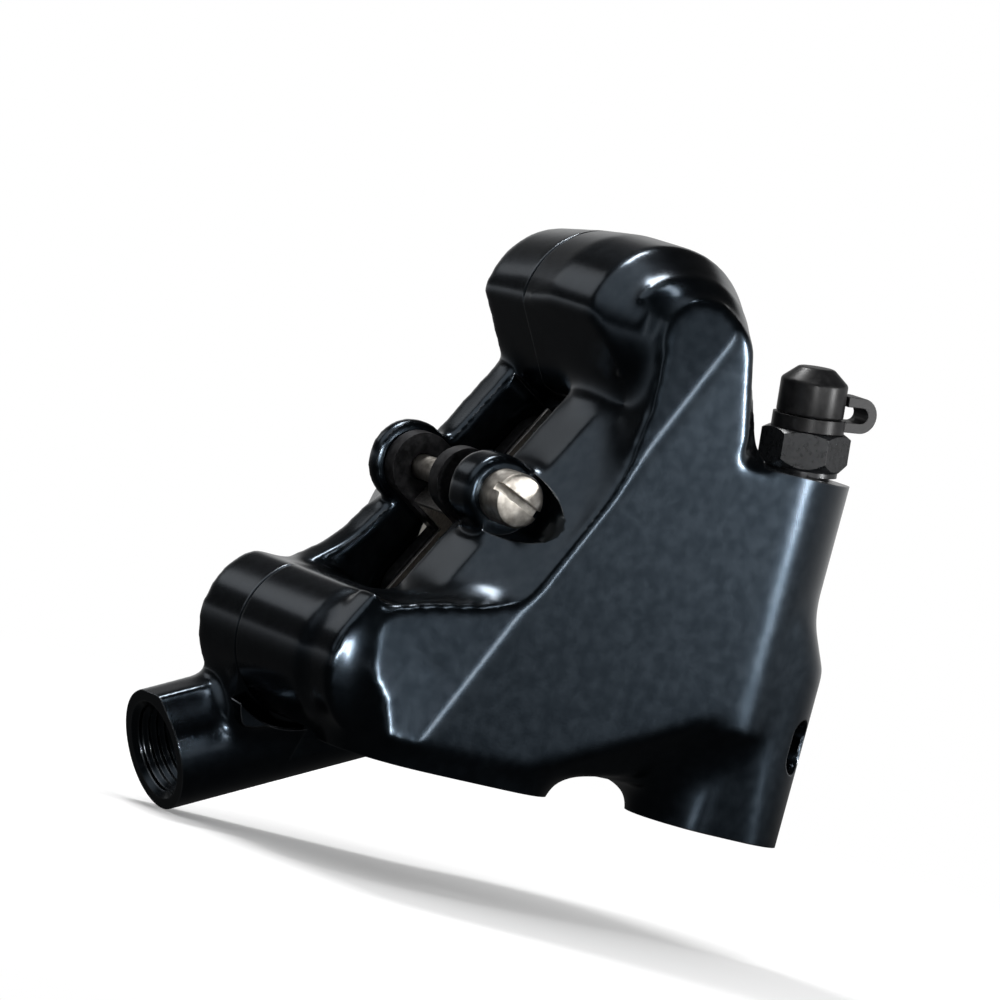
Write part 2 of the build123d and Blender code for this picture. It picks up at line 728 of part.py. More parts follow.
# Pad axle: a slotted screw whose plain shank carries both pads
with BuildPart() as pad_axle:
    with BuildSketch(line_plane(axle_seat_y)):
        with Locations(axle_point):
            Circle(axle_head_r)
    extrude(amount=axle_head_length)
    chamfer(pad_axle.edges().sort_by(Axis.Y)[0], edge_break / 2)
    with BuildSketch(line_plane(axle_shank_y)):
        with Locations(axle_point):
            Circle(axle_thread_r)
    extrude(amount=axle_thread_length)
    with BuildSketch(line_plane(axle_end_y)):
        with Locations(axle_point):
            Circle(axle_r)
    extrude(amount=axle_end_y - axle_shank_y)
    chamfer(pad_axle.edges().sort_by(Axis.Y)[-1], edge_break / 2)
    with BuildSketch(line_plane(clip_y + clip_thickness)):
        with Locations(axle_point):
            Circle(axle_r + edge_break)
            Circle(axle_r - clip_groove_depth, mode=Mode.SUBTRACT)
    extrude(amount=clip_thickness, mode=Mode.SUBTRACT)
    with BuildSketch(line_plane(axle_head_y)):
        with Locations(axle_point):
            Rectangle(3 * axle_head_r, axle_slot_width, rotation=axle_slot_angle - line_angle)
    extrude(amount=-axle_slot_depth, mode=Mode.SUBTRACT)
pad_axle.part.label = "pad_axle"
export_step(pad_axle.part, "parts/pad_axle.step")

# Clip in the groove at the axle's far end
with BuildPart() as axle_clip:
    with BuildSketch(line_plane(clip_y + clip_thickness - clip_gap)):
        with Locations(axle_point):
            Circle(clip_r)
            Circle(axle_r - clip_groove_depth + clip_gap, mode=Mode.SUBTRACT)
        with Locations((axle_along, axle_up + clip_r)):
            Rectangle(clip_opening, 2 * clip_r, mode=Mode.SUBTRACT)
    extrude(amount=clip_thickness - 2 * clip_gap)
axle_clip.part.label = "axle_clip"
export_step(axle_clip.part, "parts/axle_clip.step")

# Bleed nipple: screw, hexagon and the neck that the cap sits on
with BuildPart() as bleed_nipple:
    with BuildSketch(nipple_side):
        with BuildLine():
            Polyline((0, -nipple_reach), (nipple_tip_r, -nipple_reach),
                     (nipple_thread_r, -nipple_thread_length), (nipple_thread_r, nipple_lift),
                     (nipple_collar_r, nipple_lift), (nipple_collar_r, hex_base + edge_break),
                     (nipple_neck_r, hex_base + edge_break), (nipple_neck_r, neck_top - nipple_chamfer),
                     (nipple_neck_r - nipple_chamfer, neck_top), (nipple_bore_r, neck_top),
                     (nipple_bore_r, -nipple_thread_length), (0, -nipple_thread_length), close=True)
        make_face()
    revolve(axis=nipple_axis)
    with BuildSketch(Plane(origin=nipple_base + nipple_run * hex_base, x_dir=nipple_side.x_dir,
                           z_dir=nipple_run)):
        RegularPolygon(nipple_hex_flats / 2, 6, major_radius=False, rotation=nipple_hex_turn)
        Circle((nipple_bore_r + nipple_neck_r) / 2, mode=Mode.SUBTRACT)
    extrude(amount=nipple_hex_height)
    cross_centre = nipple_base - nipple_run * (nipple_thread_length - 2 * nipple_cross_r)
    cross_reach = nipple_side.x_dir * (nipple_thread_r + nipple_cross_r)
    add(drill(cross_centre - cross_reach, cross_centre + cross_reach, nipple_cross_r), mode=Mode.SUBTRACT)
bleed_nipple.part.label = "bleed_nipple"
export_step(bleed_nipple.part, "parts/bleed_nipple.step")

# Rubber cap over the nipple's neck
with BuildPart() as bleed_cap:
    with BuildSketch(nipple_side):
        with BuildLine():
            Polyline((nipple_neck_r + cap_gap, cap_base), (cap_r, cap_base),
                     (cap_r, cap_top - cap_cone_height),
                     (cap_top_r, cap_top), (0, cap_top), (0, cap_top - cap_crown),
                     (nipple_neck_r + cap_gap, cap_top - cap_crown), close=True)
        make_face()
    revolve(axis=nipple_axis)
bleed_cap.part.label = "bleed_cap"
export_step(bleed_cap.part, "parts/bleed_cap.step")

# Strap: a ring round the neck and the loop that ties the cap to it
with BuildPart() as cap_strap:
    ring_mid = hex_top + cap_gap + (strap_ring_height - cap_gap) / 2
    loop_mid = ring_mid + strap_loop_r
    with BuildSketch(nipple_side.offset(-strap_width / 2)):
        with Locations((strap_reach, loop_mid)):
            Circle(strap_loop_r + strap_thickness / 2)
            Circle(strap_loop_r - strap_thickness / 2, mode=Mode.SUBTRACT)
        with Locations((strap_reach - strap_loop_r, loop_mid)):
            Rectangle(2 * strap_loop_r, 4 * strap_loop_r, mode=Mode.SUBTRACT)
        with Locations(((strap_ring_r + strap_reach - strap_lap) / 2, ring_mid)):
            Rectangle(strap_reach - strap_ring_r + strap_lap, strap_thickness)
        with Locations(((cap_r + cap_gap + strap_reach) / 2, loop_mid + strap_loop_r)):
            Rectangle(strap_reach - cap_r - cap_gap, strap_thickness)
    extrude(amount=strap_width)
    with BuildSketch(nipple_side):
        with BuildLine():
            Polyline((nipple_neck_r + cap_gap, hex_top + cap_gap), (strap_ring_r, hex_top + cap_gap),
                     (strap_ring_r, ring_top), (nipple_neck_r + cap_gap, ring_top), close=True)
        make_face()
    revolve(axis=nipple_axis)
cap_strap.part.label = "cap_strap"
export_step(cap_strap.part, "parts/cap_strap.step")
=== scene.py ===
# %% [markdown]
# # A hydraulic disc brake caliper
# The caliper is an aluminium forging in two halves, machined where something fits, and finished almost
# black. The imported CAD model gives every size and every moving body. This script gives the looks: the soft
# blends of the forging, the crisp machined edges, the screw threads, the rubber cap and the finish of each
# metal.

# %% Load the frame
import bpy
import bmesh
import numpy as np
from math import acos, cos, pi, radians, sin, sqrt
from mathutils import Matrix, Vector


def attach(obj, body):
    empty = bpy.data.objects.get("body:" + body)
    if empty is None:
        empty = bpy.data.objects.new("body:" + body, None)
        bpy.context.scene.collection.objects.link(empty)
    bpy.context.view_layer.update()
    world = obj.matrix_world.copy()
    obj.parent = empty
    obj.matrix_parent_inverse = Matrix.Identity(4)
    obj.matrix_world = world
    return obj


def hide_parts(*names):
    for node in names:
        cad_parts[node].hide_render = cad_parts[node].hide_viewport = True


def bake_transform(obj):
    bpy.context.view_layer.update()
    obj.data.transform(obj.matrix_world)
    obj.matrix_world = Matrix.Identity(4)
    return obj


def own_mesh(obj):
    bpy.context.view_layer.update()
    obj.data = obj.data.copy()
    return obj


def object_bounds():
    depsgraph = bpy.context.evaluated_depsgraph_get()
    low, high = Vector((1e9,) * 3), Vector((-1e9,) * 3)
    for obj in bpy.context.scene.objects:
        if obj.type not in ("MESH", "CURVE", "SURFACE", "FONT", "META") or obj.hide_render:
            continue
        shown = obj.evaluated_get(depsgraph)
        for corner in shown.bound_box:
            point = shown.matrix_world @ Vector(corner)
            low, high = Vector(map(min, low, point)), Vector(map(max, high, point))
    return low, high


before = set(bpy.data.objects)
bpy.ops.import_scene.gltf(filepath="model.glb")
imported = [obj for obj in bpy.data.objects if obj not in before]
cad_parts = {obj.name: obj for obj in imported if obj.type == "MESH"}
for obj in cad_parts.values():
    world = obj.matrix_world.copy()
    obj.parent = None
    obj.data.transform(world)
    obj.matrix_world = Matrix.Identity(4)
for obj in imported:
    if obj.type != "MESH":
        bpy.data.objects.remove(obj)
cad_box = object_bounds()
print("CAD box in mm:", [[round(v * 1000, 1) for v in corner] for corner in cad_box])

# %% [markdown]
# ## The caliper's own directions
# The caliper is laid out on the line of its two body bolts, which climbs at 59.7 degrees. Every place could
# be given in the frame's X, Y and Z, but most are easiest to say as a distance along that line, a height away
# from the wheel's hub, and Y across the caliper. Work is done in millimetres, and each mesh is brought down
# to metres when it is finished.

# %% Places
MM = 0.001
LINE_MID = Vector((-10.65, 0, 24.35))
LINE_ANGLE = radians(59.7)
ALONG = Vector((cos(LINE_ANGLE), 0, sin(LINE_ANGLE)))
UP = Vector((-sin(LINE_ANGLE), 0, cos(LINE_ANGLE)))
ACROSS = Vector((0, 1, 0))
UPRIGHT = Vector((0, 0, 1))
BOLT = 19.5


def place(along, up, y):
    """A point from the middle between the body bolts, which are BOLT before and behind it."""
    return LINE_MID + along * ALONG + up * UP + y * ACROSS


print("upper body bolt at", [round(v, 1) for v in place(BOLT, 0, 0)])

# %% [markdown]
# ## The camera
# The photograph looks at the outboard side from in front, a little from above, and rolled by 15 degrees.
# Three directions of the frame were read off it: which way is right, which is up, and which comes towards
# the lens. A long lens from 0.9 m keeps the flat perspective of a catalogue picture.

# %% Camera
VIEW_RIGHT = Vector((0.84, -0.47, 0.26)).normalized()
VIEW_UP = Vector((-0.21, 0.175, 0.966))
VIEW_UP = (VIEW_UP - VIEW_UP.dot(VIEW_RIGHT) * VIEW_RIGHT).normalized()
VIEW_BACK = VIEW_RIGHT.cross(VIEW_UP)
VIEW_CENTRE = Vector((-13.3, 0, 24.4))
VIEW_DISTANCE = 900.0
VIEW_WIDTH = 88.1

camera_data = bpy.data.cameras.new("camera")
camera = bpy.data.objects.new("camera", camera_data)
bpy.context.scene.collection.objects.link(camera)
bpy.context.scene.camera = camera
camera_data.sensor_width = 36.0
camera_data.lens = camera_data.sensor_width * VIEW_DISTANCE / VIEW_WIDTH
camera_data.clip_start = 0.01
camera_data.clip_end = 10.0
turn = Matrix((VIEW_RIGHT, VIEW_UP, VIEW_BACK)).transposed().to_4x4()
camera.matrix_world = Matrix.Translation((VIEW_CENTRE + VIEW_BACK * VIEW_DISTANCE) * MM) @ turn
print("lens:", round(camera_data.lens), "mm")

# %% [markdown]
# ## Tools for solid shapes
# A forging is easiest to think of as a few plain masses that melt into each other. A mass here is the tight
# skin round some rings, a rod, a prism or a turned shape. Each starts from a circle, a cone or a flat
# outline, and hull, extrude and spin do the rest. One surface drawn by hand could look the same, but a mass
# can be moved or made larger on its own, as a designer does.

# %% Skins round rings
SEGMENTS = 96


def aim(direction):
    """The turn that stands a shape's own Z up along a direction."""
    return Vector(direction).to_track_quat("Z", "Y").to_matrix().to_4x4()


def skin(*rings, normal=ACROSS):
    """The tight skin round a few rings, each given as (centre, radius)."""
    bm = bmesh.new()
    for centre, radius in rings:
        bmesh.ops.create_circle(bm, cap_ends=False, radius=radius, segments=SEGMENTS,
                                matrix=Matrix.Translation(centre) @ aim(normal))
    made = bmesh.ops.convex_hull(bm, input=bm.verts)
    loose = {v for v in made["geom_interior"] + made["geom_unused"] if isinstance(v, bmesh.types.BMVert)}
    bmesh.ops.delete(bm, geom=list(loose), context="VERTS")
    bmesh.ops.recalc_face_normals(bm, faces=bm.faces)
    return bm


# %% Rods and prisms
def rod(start, end, radius, end_radius=None, segments=SEGMENTS):
    """A round rod, or a cone where the end's radius differs."""
    bm = bmesh.new()
    run = end - start
    bmesh.ops.create_cone(bm, cap_ends=True, segments=segments, radius1=radius,
                          radius2=radius if end_radius is None else end_radius, depth=run.length,
                          matrix=Matrix.Translation((start + end) / 2) @ aim(run))
    return bm


def prism(corners, run):
    """A flat outline of points, pushed along a vector."""
    bm = bmesh.new()
    bm.faces.new([bm.verts.new(corner) for corner in corners])
    made = bmesh.ops.extrude_face_region(bm, geom=list(bm.faces))
    moved = [v for v in made["geom"] if isinstance(v, bmesh.types.BMVert)]
    bmesh.ops.translate(bm, vec=run, verts=moved)
    bmesh.ops.recalc_face_normals(bm, faces=bm.faces)
    return bm


def outline_prism(points, start_y, end_y):
    """A prism across the caliper, whose outline is given as (X, Z)."""
    return prism([Vector((x, start_y, z)) for x, z in points], ACROSS * (end_y - start_y))


def line_prism(points, start, end):
    """A prism along the bolt line, whose outline is given as (Y, height)."""
    return prism([place(start, up, y) for y, up in points], ALONG * (end - start))


def half_space(point, normal, reach=80.0):
    """A big block on the side of a plane that the normal points to."""
    bm = bmesh.new()
    bmesh.ops.create_cube(bm, size=2 * reach, matrix=Matrix.Translation(Vector(point)) @ aim(normal)
                          @ Matrix.Translation((0, 0, reach)))
    return bm


# %% Turned shapes
def lathe(profile, base, axis, closed=False, segments=SEGMENTS):
    """A turned shape. Its profile of (radius, height) begins and ends on the axis, or else it is closed."""
    bm = bmesh.new()
    points = [bm.verts.new((radius, 0, height)) for radius, height in profile]
    pairs = list(zip(points, points[1:])) + ([(points[-1], points[0])] if closed else [])
    edges = [bm.edges.new(pair) for pair in pairs]
    bmesh.ops.spin(bm, geom=points + edges, cent=(0, 0, 0), axis=(0, 0, 1), angle=2 * pi, steps=segments,
                   use_merge=True)
    bmesh.ops.remove_doubles(bm, verts=bm.verts, dist=1e-5)
    bmesh.ops.recalc_face_normals(bm, faces=bm.faces)
    bmesh.ops.transform(bm, matrix=Matrix.Translation(base) @ aim(axis), verts=bm.verts)
    return bm


def thread(crest, root, pitch, start, end):
    """The zigzag of a screw thread between two heights, as rings."""
    turns = int(abs(end - start) / pitch)
    step = (end - start) / turns
    zigzag = [(crest, start)]
    for i in range(turns):
        zigzag += [(root, start + (i + 0.5) * step), (crest, start + (i + 1) * step)]
    return zigzag


print("a thread of 3 turns has", len(thread(4.0, 3.6, 0.75, 0, 2.25)), "points")

# %% [markdown]
# ## Tools for joining and cutting
# The masses are joined, melted into one skin by a voxel remesh, and softened, which gives the blends of a
# forging. A bevel could round plain edges, but not the places where three or four masses run into each
# other. Then crisp cutters machine the blank, in the order of a real workshop: nothing that is cut gets
# soft again.

# %% From a bmesh to an object, and its modifiers applied
def to_object(bm, name="mass"):
    mesh = bpy.data.meshes.new(name)
    bm.to_mesh(mesh)
    bm.free()
    made = bpy.data.objects.new(name, mesh)
    bpy.context.scene.collection.objects.link(made)
    return made


def settle(obj):
    """Applies the modifiers of an object to its mesh."""
    graph = bpy.context.evaluated_depsgraph_get()
    mesh = bpy.data.meshes.new_from_object(obj.evaluated_get(graph))
    obj.modifiers.clear()
    old = obj.data
    obj.data = mesh
    bpy.data.meshes.remove(old)
    return obj


# %% Cut, join and melt
def machine(obj, *cutters, operation="DIFFERENCE"):
    """Cuts shapes out of an object, one after the other, with exact edges."""
    for cutter in cutters:
        tool = to_object(cutter, "cutter")
        step = obj.modifiers.new("cut", "BOOLEAN")
        step.operation = operation
        step.solver = "MANIFOLD"
        step.object = tool
        settle(obj)
        bpy.data.objects.remove(tool)
    return obj


def weld(first, *others):
    """Joins overlapping masses into one closed solid."""
    return machine(to_object(first), *others, operation="UNION")


def as_bmesh(obj):
    """The mesh of a helper object, which is removed."""
    bm = bmesh.new()
    bm.from_mesh(obj.data)
    bpy.data.objects.remove(obj)
    return bm


def carve(bm, *cutters, operation="DIFFERENCE"):
    """A mass that is cut on its own, before it joins the others."""
    return as_bmesh(machine(to_object(bm), *cutters, operation=operation))


def melt(obj, voxel):
    """Joins everything in the mesh into one closed skin of even quads."""
    step = obj.modifiers.new("skin", "REMESH")
    step.mode = "VOXEL"
    step.voxel_size = voxel
    return settle(obj)


def soften(obj, passes):
    """Evens the whole surface out."""
    step = obj.modifiers.new("soften", "SMOOTH")
    step.factor = 0.5
    step.iterations = passes
    return settle(obj)


# %% Fill the hollows of a blank
NORMALS_EVERY = 8
PULL = 0.5


def fill_hollows(obj, passes, share_at):
    """Lets the blends grow where two masses meet, and leaves what bulges alone, as in a forging die."""
    mesh = obj.data
    points = np.empty(len(mesh.vertices) * 3)
    mesh.vertices.foreach_get("co", points)
    share = np.array([share_at(vertex.co) for vertex in mesh.vertices])
    pairs = np.empty(len(mesh.edges) * 2, dtype=np.int32)
    mesh.edges.foreach_get("vertices", pairs)
    first, second = pairs.reshape(-1, 2).T
    ends = np.concatenate((first, second))
    others = np.concatenate((second, first))
    neighbours = np.bincount(ends, minlength=len(share))
    points = points.reshape(-1, 3)
    normals = np.empty(points.size)
    for turn in range(passes):
        if turn % NORMALS_EVERY == 0:
            mesh.vertices.foreach_set("co", points.ravel())
            mesh.update()
            mesh.vertex_normals.foreach_get("vector", normals)
        # Each point is drawn to the middle of its neighbours, and only where that is outwards.
        middle = np.stack([np.bincount(ends, points[others, k], len(share)) for k in range(3)], axis=1)
        pull = middle / neighbours[:, None] - points
        outward = (pull * normals.reshape(-1, 3)).sum(axis=1)
        points += pull * (PULL * share * (outward > 0))[:, None]
    mesh.vertices.foreach_set("co", points.ravel())
    mesh.update()
    return obj


def fade(value, start, end):
    """0 before start, 1 after end, and smooth between them."""
    share = min(max((value - start) / (end - start), 0), 1)
    return share * share * (3 - 2 * share)


# %% Round the edges of a small piece
def round_edges(bm, width, segments=3, sharper=30.0):
    """Rounds every edge of a small piece that is sharper than an angle."""
    edges = [e for e in bm.edges if len(e.link_faces) == 2 and e.calc_face_angle(0) > radians(sharper)]
    bmesh.ops.bevel(bm, geom=edges, offset=width, offset_type="OFFSET", segments=segments, profile=0.5,
                    affect="EDGES", clamp_overlap=True, material=-1)
    return bm


# %% Hand a finished piece to the frame
def hand_over(obj, name, body, node, material, sharper=32.0):
    """Names a finished piece, brings it to metres and ties it to the CAD model."""
    obj.name = name
    obj.data.name = name
    obj.data.transform(Matrix.Scale(MM, 4))
    obj.data.materials.clear()
    obj.data.materials.append(material)
    obj.data.polygons.foreach_set("use_smooth", [True] * len(obj.data.polygons))
    obj.data.set_sharp_from_angle(angle=radians(sharper))
    if body:
        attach(obj, body)
    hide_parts(node)
    triangles = sum(len(p.vertices) - 2 for p in obj.data.polygons)
    print(name + ":", triangles, "triangles")
    return obj

# %% [markdown]
# ## Finishes
# The body is anodised and clear-coated: almost black, with the blue of the oxide, and its gloss comes from
# a coat over a duller base. Every finish below is one small function with the same order: a shade that
# varies a little, a roughness that varies with it, and a fine bump. The edges that the tools cut could be
# bevelled in the mesh, but a bevel node rounds the light along them at no cost, and finds them too, so that
# the body's edges can get a paler colour, which is a painted highlight along them.

# %% A start for every finish
def finish(name, roughness, metallic=0.0, coat=0.0, coat_roughness=0.1, specular=0.5):
    material = bpy.data.materials.new(name)
    material.use_nodes = True
    shader = material.node_tree.nodes["Principled BSDF"]
    shader.inputs["Roughness"].default_value = roughness
    shader.inputs["Metallic"].default_value = metallic
    shader.inputs["Coat Weight"].default_value = coat
    shader.inputs["Coat Roughness"].default_value = coat_roughness
    shader.inputs["Specular IOR Level"].default_value = specular
    return material, shader


def feed(owner, socket, value):
    """Links a socket to what comes in, or sets it where that is a plain value."""
    if isinstance(value, bpy.types.NodeSocket):
        owner.node_tree.links.new(value, socket)
    else:
        socket.default_value = value


def node(owner, kind, **inputs):
    """A new node of a material or of the world, with its inputs set or linked."""
    made = owner.node_tree.nodes.new(kind)
    for key, value in inputs.items():
        feed(owner, made.inputs[key.replace("_", " ")], value)
    return made


def link(owner, source, target):
    owner.node_tree.links.new(source, target)


def dress(material, shader, colour, roughness):
    """Gives a finish its colour and its roughness."""
    link(material, colour, shader.inputs["Base Color"])
    link(material, roughness, shader.inputs["Roughness"])


# %% Noise, and the colours and numbers that follow it
def noise(material, scale, detail=3.0, stretch=(1, 1, 1)):
    """Noise on the piece's own coordinates. Its scale is how many specks fit in a metre."""
    where = node(material, "ShaderNodeTexCoord")
    turn = node(material, "ShaderNodeMapping", Vector=where.outputs["Object"], Scale=stretch)
    made = node(material, "ShaderNodeTexNoise", Vector=turn.outputs["Vector"], Scale=scale, Detail=detail)
    return made.outputs["Fac"]


def shade(material, factor, dark, light, low=0.35, high=0.65):
    """A colour between two, as the factor goes from low to high."""
    ramp = node(material, "ShaderNodeValToRGB", Fac=factor)
    ramp.color_ramp.elements[0].position = low
    ramp.color_ramp.elements[1].position = high
    ramp.color_ramp.elements[0].color = (*dark, 1)
    ramp.color_ramp.elements[1].color = (*light, 1)
    return ramp.outputs["Color"]


def span(owner, factor, low, high, start=0.0, end=1.0, smooth=False):
    """Numbers between low and high, as the factor goes from start to end."""
    made = node(owner, "ShaderNodeMapRange", Value=factor, From_Min=start, From_Max=end, To_Min=low,
                To_Max=high)
    if smooth:
        made.interpolation_type = "SMOOTHSTEP"
    return made.outputs["Result"]


# %% Two small nodes that several finishes need
def dot_product(owner, first, second):
    made = node(owner, "ShaderNodeVectorMath")
    made.operation = "DOT_PRODUCT"
    feed(owner, made.inputs[0], first)
    feed(owner, made.inputs[1], second)
    return made.outputs["Value"]


def mix(material, share, first, second):
    """The first colour where the share is 0, and the second where it is 1."""
    made = node(material, "ShaderNodeMix")
    made.data_type = "RGBA"
    # A mix node has a pair of sockets for each kind of value. Those of its colours are 6 and 7.
    for number, value in ((0, share), (6, first), (7, second)):
        feed(material, made.inputs[number], value)
    return made.outputs[2]


# %% Bump and rounded edges
BEVEL_SAMPLES = 6


def rounded_normal(material, radius):
    """The normal as if every edge were rounded by that radius in millimetres."""
    made = node(material, "ShaderNodeBevel", Radius=radius * MM)
    made.samples = BEVEL_SAMPLES
    return made.outputs["Normal"]


def surface(material, shader, height, strength, depth, edge):
    """A fine bump over the piece's normal, with the light rounded along the edges."""
    bump = node(material, "ShaderNodeBump", Height=height, Strength=strength, Distance=depth * MM,
                Normal=rounded_normal(material, edge))
    link(material, bump.outputs["Normal"], shader.inputs["Normal"])


def edge_share(material, radius):
    """1 on the edges that a bevel of that radius rounds, and 0 on the faces."""
    plain = node(material, "ShaderNodeNewGeometry").outputs["Normal"]
    return span(material, dot_product(material, rounded_normal(material, radius), plain), 0.0, 1.0,
                start=0.995, end=0.9)


# %% The body's dark anodising
def body_finish():
    material, shader = finish("dark_anodised", 0.25, metallic=1.0, coat=0.25, coat_roughness=0.15,
                              specular=0.3)
    cloud = noise(material, 900.0, detail=4.0)
    grain = noise(material, 5200.0, detail=2.0)
    base = shade(material, cloud, (0.020, 0.029, 0.039), (0.028, 0.038, 0.049))
    # Painted highlight: the edges that the bevel finds get a paler colour, for the light that rounded edges
    # catch.
    painted_edge_highlight = mix(material, edge_share(material, 0.22), base, (0.20, 0.215, 0.235, 1))
    dress(material, shader, painted_edge_highlight, span(material, cloud, 0.18, 0.25))
    surface(material, shader, grain, 0.12, 0.02, edge=0.2)
    return material


BODY = body_finish()

# %% Steels: black, plated and sprung
def steel(name, dark, light, roughness, metallic=1.0, scale=2500.0, stretch=(1, 1, 1), bump=0.15, edge=0.08):
    material, shader = finish(name, roughness, metallic=metallic)
    cloud = noise(material, scale, detail=4.0, stretch=stretch)
    dress(material, shader, shade(material, cloud, dark, light),
          span(material, cloud, roughness * 0.75, roughness * 1.3))
    surface(material, shader, cloud, bump, 0.02, edge=edge)
    return material


BOLT_STEEL = steel("black_steel", (0.06, 0.06, 0.063), (0.11, 0.11, 0.115), 0.36)
SPRING_STEEL = steel("spring_steel", (0.42, 0.41, 0.4), (0.6, 0.59, 0.57), 0.3, stretch=(4, 1, 1))
AXLE_STEEL = steel("nickel_plated_steel", (0.40, 0.37, 0.33), (0.62, 0.59, 0.54), 0.34, scale=1500.0)
NIPPLE_STEEL = steel("black_oxide_steel", (0.008, 0.009, 0.010), (0.018, 0.019, 0.021), 0.28, metallic=0.4)
PLATE_STEEL = steel("plated_backing_steel", (0.025, 0.025, 0.027), (0.05, 0.05, 0.053), 0.45, scale=1800.0)

# %% Rubbers
def rubber(name, dark, light, roughness):
    material, shader = finish(name, roughness, specular=0.25)
    cloud = noise(material, 1600.0, detail=3.0)
    grain = noise(material, 9000.0, detail=2.0)
    dress(material, shader, shade(material, cloud, dark, light),
          span(material, cloud, roughness * 0.85, roughness * 1.15))
    surface(material, shader, grain, 0.25, 0.02, edge=0.1)
    return material


SEAL_RUBBER = rubber("seal_rubber", (0.012, 0.012, 0.012), (0.02, 0.02, 0.02), 0.55)
CAP_RUBBER = rubber("cap_rubber", (0.005, 0.005, 0.0055), (0.010, 0.010, 0.0105), 0.36)

# %% [markdown]
# The pistons are a sintered ceramic, off-white with tiny pores. The friction blocks are pressed from resin,
# fibre and metal chips. A picture of the mix would blur from close by, so their shade is set by cells of two
# sizes: dark grains, and here and there a chip that shines.

# %% Ceramic and friction material
def ceramic():
    material, shader = finish("ceramic", 0.42, specular=0.5)
    cloud = noise(material, 800.0, detail=3.0)
    pores = noise(material, 6000.0, detail=2.0)
    dress(material, shader, shade(material, cloud, (0.60, 0.57, 0.50), (0.68, 0.65, 0.58)),
          span(material, cloud, 0.36, 0.48))
    surface(material, shader, pores, 0.2, 0.02, edge=0.12)
    return material


def friction():
    material, shader = finish("friction_resin", 0.8, specular=0.3)
    where = node(material, "ShaderNodeTexCoord")
    grains = node(material, "ShaderNodeTexVoronoi", Vector=where.outputs["Object"], Scale=2600.0)
    chips = node(material, "ShaderNodeTexVoronoi", Vector=where.outputs["Object"], Scale=1400.0)
    base = shade(material, grains.outputs["Distance"], (0.10, 0.085, 0.07), (0.045, 0.04, 0.035), 0.1, 0.7)
    chip = shade(material, chips.outputs["Distance"], (1, 1, 1), (0, 0, 0), 0.1, 0.16)
    dress(material, shader, mix(material, chip, base, (0.45, 0.38, 0.28, 1)),
          span(material, grains.outputs["Distance"], 0.7, 0.9))
    surface(material, shader, grains.outputs["Distance"], 0.5, 0.06, edge=0.1)
    return material


CERAMIC = ceramic()
FRICTION = friction()
print("finishes:", [made.name for made in bpy.data.materials if made.users == 0])

# %% [markdown]
# ## CAD pieces whose shape is right
# Bolts, seals, pistons, pads and the axle's clip are plain machined or stamped pieces, and most of each is
# hidden in the body. They could be modelled again, but their CAD shape is already the real one, so they
# only get their finish.

# %% Finishes for the kept CAD pieces
KEPT = {
    "body_bolt_upper": BOLT_STEEL, "body_bolt_lower": BOLT_STEEL, "transfer_seal": SEAL_RUBBER,
    "outer_piston_seal": SEAL_RUBBER, "inner_piston_seal": SEAL_RUBBER, "outer_piston": CERAMIC,
    "inner_piston": CERAMIC, "outer_pad_plate": PLATE_STEEL, "inner_pad_plate": PLATE_STEEL,
    "outer_pad_friction": FRICTION, "inner_pad_friction": FRICTION, "axle_clip": SPRING_STEEL,
}
for name, material in KEPT.items():
    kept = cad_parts[name]
    if not kept.material_slots:
        kept.data.materials.append(material)
    for slot in kept.material_slots:
        slot.material = material
print("kept CAD pieces:", len(KEPT))

# %% [markdown]
# ## The outer half's blank
# The outer half carries everything the photograph shows in front: a flat face with a ridge, a leaf that
# leans back beside it, a scoop that runs down from the pad window, two humps round the body bolts, the
# bleed boss and the feet. The block is cut to its facets first, because a plane through everything would
# also flatten the round masses, which are set on it afterwards.

# %% The outer half's sizes
# All are in millimetres: Y grows towards the wheel, and what ends in UP is measured from the bolt line.
PARTING_Y = 14.25
FACE_Y = -7.0
FACE_BACK_Y = -3.0
POCKET_OUTER_Y = 7.75
POCKET_INNER_Y = 18.25
POCKET_HALF = 12.0
UPPER_HUMP = 20.1
BOLT_WALL_R = 6.8
PISTON_UP = -13.5
HOUSING_R = 14.0
RAIL_TOP = 0.5
SPARE = 1.6
VOXEL = 0.4
AXLE_AT = (-0.5, 1.7)

# %% The block and its facets
BLOCK_OUTLINE = ((19.2, 2.6), (19.2, 29.0), (5.8, 33.0), (-6.0, 26.0), (-22.0, 7.5), (-22.0, 2.6))
FACE_OUTLINE = ((3.5, 42.9), (1.8, 45.1), (0.3, 46.3), (-1.8, 46.4), (-3.3, 45.4), (-4.1, 43.9), (-4.4, 42.1),
                (-4.4, 39.6), (-4.6, 36.0), (-5.2, 32.5), (-5.8, 29.5), (-6.7, 27.0), (-11.7, 17.2),
                (-12.3, 16.8), (-15.0, 15.6), (-19.7, 14.5), (-22.8, 13.5), (-24.0, 12.5), (-24.4, 10.8),
                (-24.3, 9.1), (-24.1, 7.0), (-22.8, 5.3), (-22.1, 2.7), (-21.8, 1.8), (-4.3, 1.9),
                (11.7, 4.5), (11.7, 33.0), (5.8, 33.0))
SLAB_BACK_Y = -2.7
CREST_Y = 0.4
FILL_ALONG = (-15.7, 13.0)
FILL_SECTION = ((FACE_Y, -6.0), (FACE_Y, 5.0), (CREST_Y, 5.0), (CREST_Y, -6.0))
VALLEY_FRONT_Y = -9.4
VALLEY_TOP = 24.0
VALLEY_FLOOR = ((-15.7, 10.4), (-13.1, 4.8), (-10.0, -1.2), (-7.0, -3.9), (13.0, -4.1), (BOLT, -4.1))
OVERLAP = 0.1
PAST_CREST = 4.0
RIDGE_FOOT = Vector((-19.0, FACE_Y, 1.6))
RIDGE_ANGLE = radians(63.5)
RIDGE_LEAN = radians(19.0)
